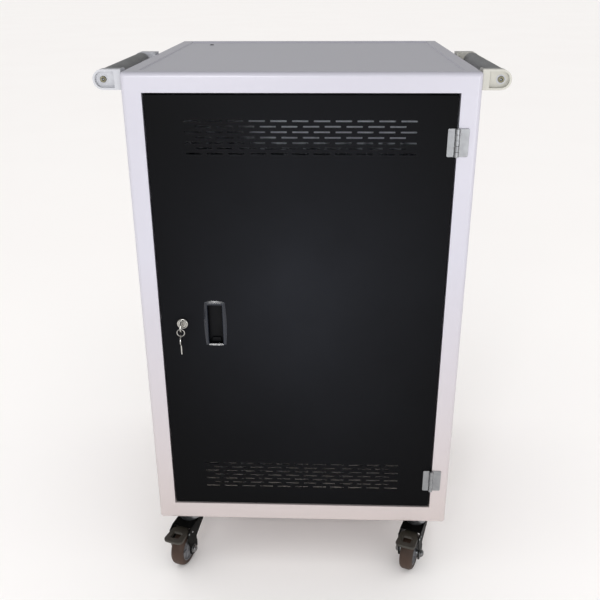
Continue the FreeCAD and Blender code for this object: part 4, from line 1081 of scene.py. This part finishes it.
def add_axle_caps():
    """Hexagonal nuts with a collar and a domed end on both sides of each fork, with the pins between."""
    collar = [(0, 0), (9.4, 0), (9.4, 0.8), (9.0, 1.2), (0, 1.2)]
    dome = [(7.4, 3.4), (7.3, 4.4), (6.6, 5.9), (5.0, 7.2), (2.6, 7.9), (0, 8.1)]
    for corner in CORNERS:
        shapes = []
        for side in SIDES:
            face = across(0, *AXLE, side) @ Matrix.Translation((0, 0, LEG_OUTER))
            shapes.append(turned(collar, 32, face))
            nut = hexagon(CAP_NUT_RADIUS, CAP_NUT_CORNER)
            shapes.append(pressed([nut], CAP_NUT_LOW, CAP_NUT_HIGH, 0.5, face))
            shapes.append(turned(dome, 32, face))
        shapes.append(turned(pin(AXLE_RADIUS, LEG_OUTER), 24, across(0, *AXLE)))
        if corner in BRAKED:
            shapes.append(turned(pin(PIVOT_RADIUS, LEG_INNER), 16, across(0, *PIVOT)))
        add_caster_piece(
            corner, "axle_caps", shapes, "caster", "zinc_plate", "caster_axle", finish=CAP_FINISH)


def add_hubs():
    """Dished hubs with a raised rim, a boss and radial ribs on both faces."""
    face = [
        (4.05, 15), (7.6, 15), (8.6, 14.2), (9.2, 9.4), (10.4, 8.8), (24.6, 8.8), (25.6, 9.4), (26.2, 12.4),
        (26.8, 13), (28.4, 13), (29, 12.5)]
    profile = [(radius, -height) for radius, height in face] + face[::-1]
    outline = [(8.4, -1.1), (25.8, -0.8), (25.8, 0.8), (8.4, 1.1)]
    for corner in CORNERS:
        shapes = [turned(profile, 64, across(0, *AXLE), closed=True)]
        for side in SIDES:
            for rib in range(HUB_RIBS):
                turn = Matrix.Rotation(math.tau * (rib + 0.5) / HUB_RIBS, 4, "X")
                place = Matrix.Translation((0, *AXLE)) @ turn @ across(0, 0, 0, side)
                shapes.append(pressed([outline], HUB_RIB_LOW, HUB_RIB_HIGH, 0.4, place))
        add_caster_piece(corner, "hub", shapes, "wheel", "hub_plastic", "caster_hub")


def add_tyres():
    """Crowned tyres with a bead on each side wall and a faint parting line."""
    half = [(29, 14), (30.2, 14), (31, 13.6), (31.6, 14), (32.6, 14)]
    for step in range(TYRE_STEPS + 1):
        angle = math.radians(90 * step / TYRE_STEPS)
        half.append((31.6 + 8.4 * math.sin(angle), 5.4 + 8.6 * math.cos(angle)))
    half += [(40, 0.5), (39.75, 0.25)]
    profile = half + [(radius, -height) for radius, height in reversed(half)]
    for corner in CORNERS:
        tyre = turned(profile, 72, across(0, *AXLE), closed=True)
        add_caster_piece(corner, "tyre", (tyre,), "wheel", "tyre_rubber", "caster_tyre")


add_camera()
add_studio()
dress_nodes()
add_hinges()
add_locks()
add_pull()
add_outlets()
add_switch_marks()
add_top_plug()
add_brackets()
add_grips()
add_handle_bolts()
add_pedals()
add_forks()
add_fittings()
add_axle_caps()
add_hubs()
add_tyres()
soften(1.0, "top_panel")
soften(0.5, "front_lock_cam", "rear_lock_cam", "caster_plates", "power_inlet")
soften(0.3, "front_lock_plug", "rear_lock_plug", "door_key", "spare_key", "caster_bolts")
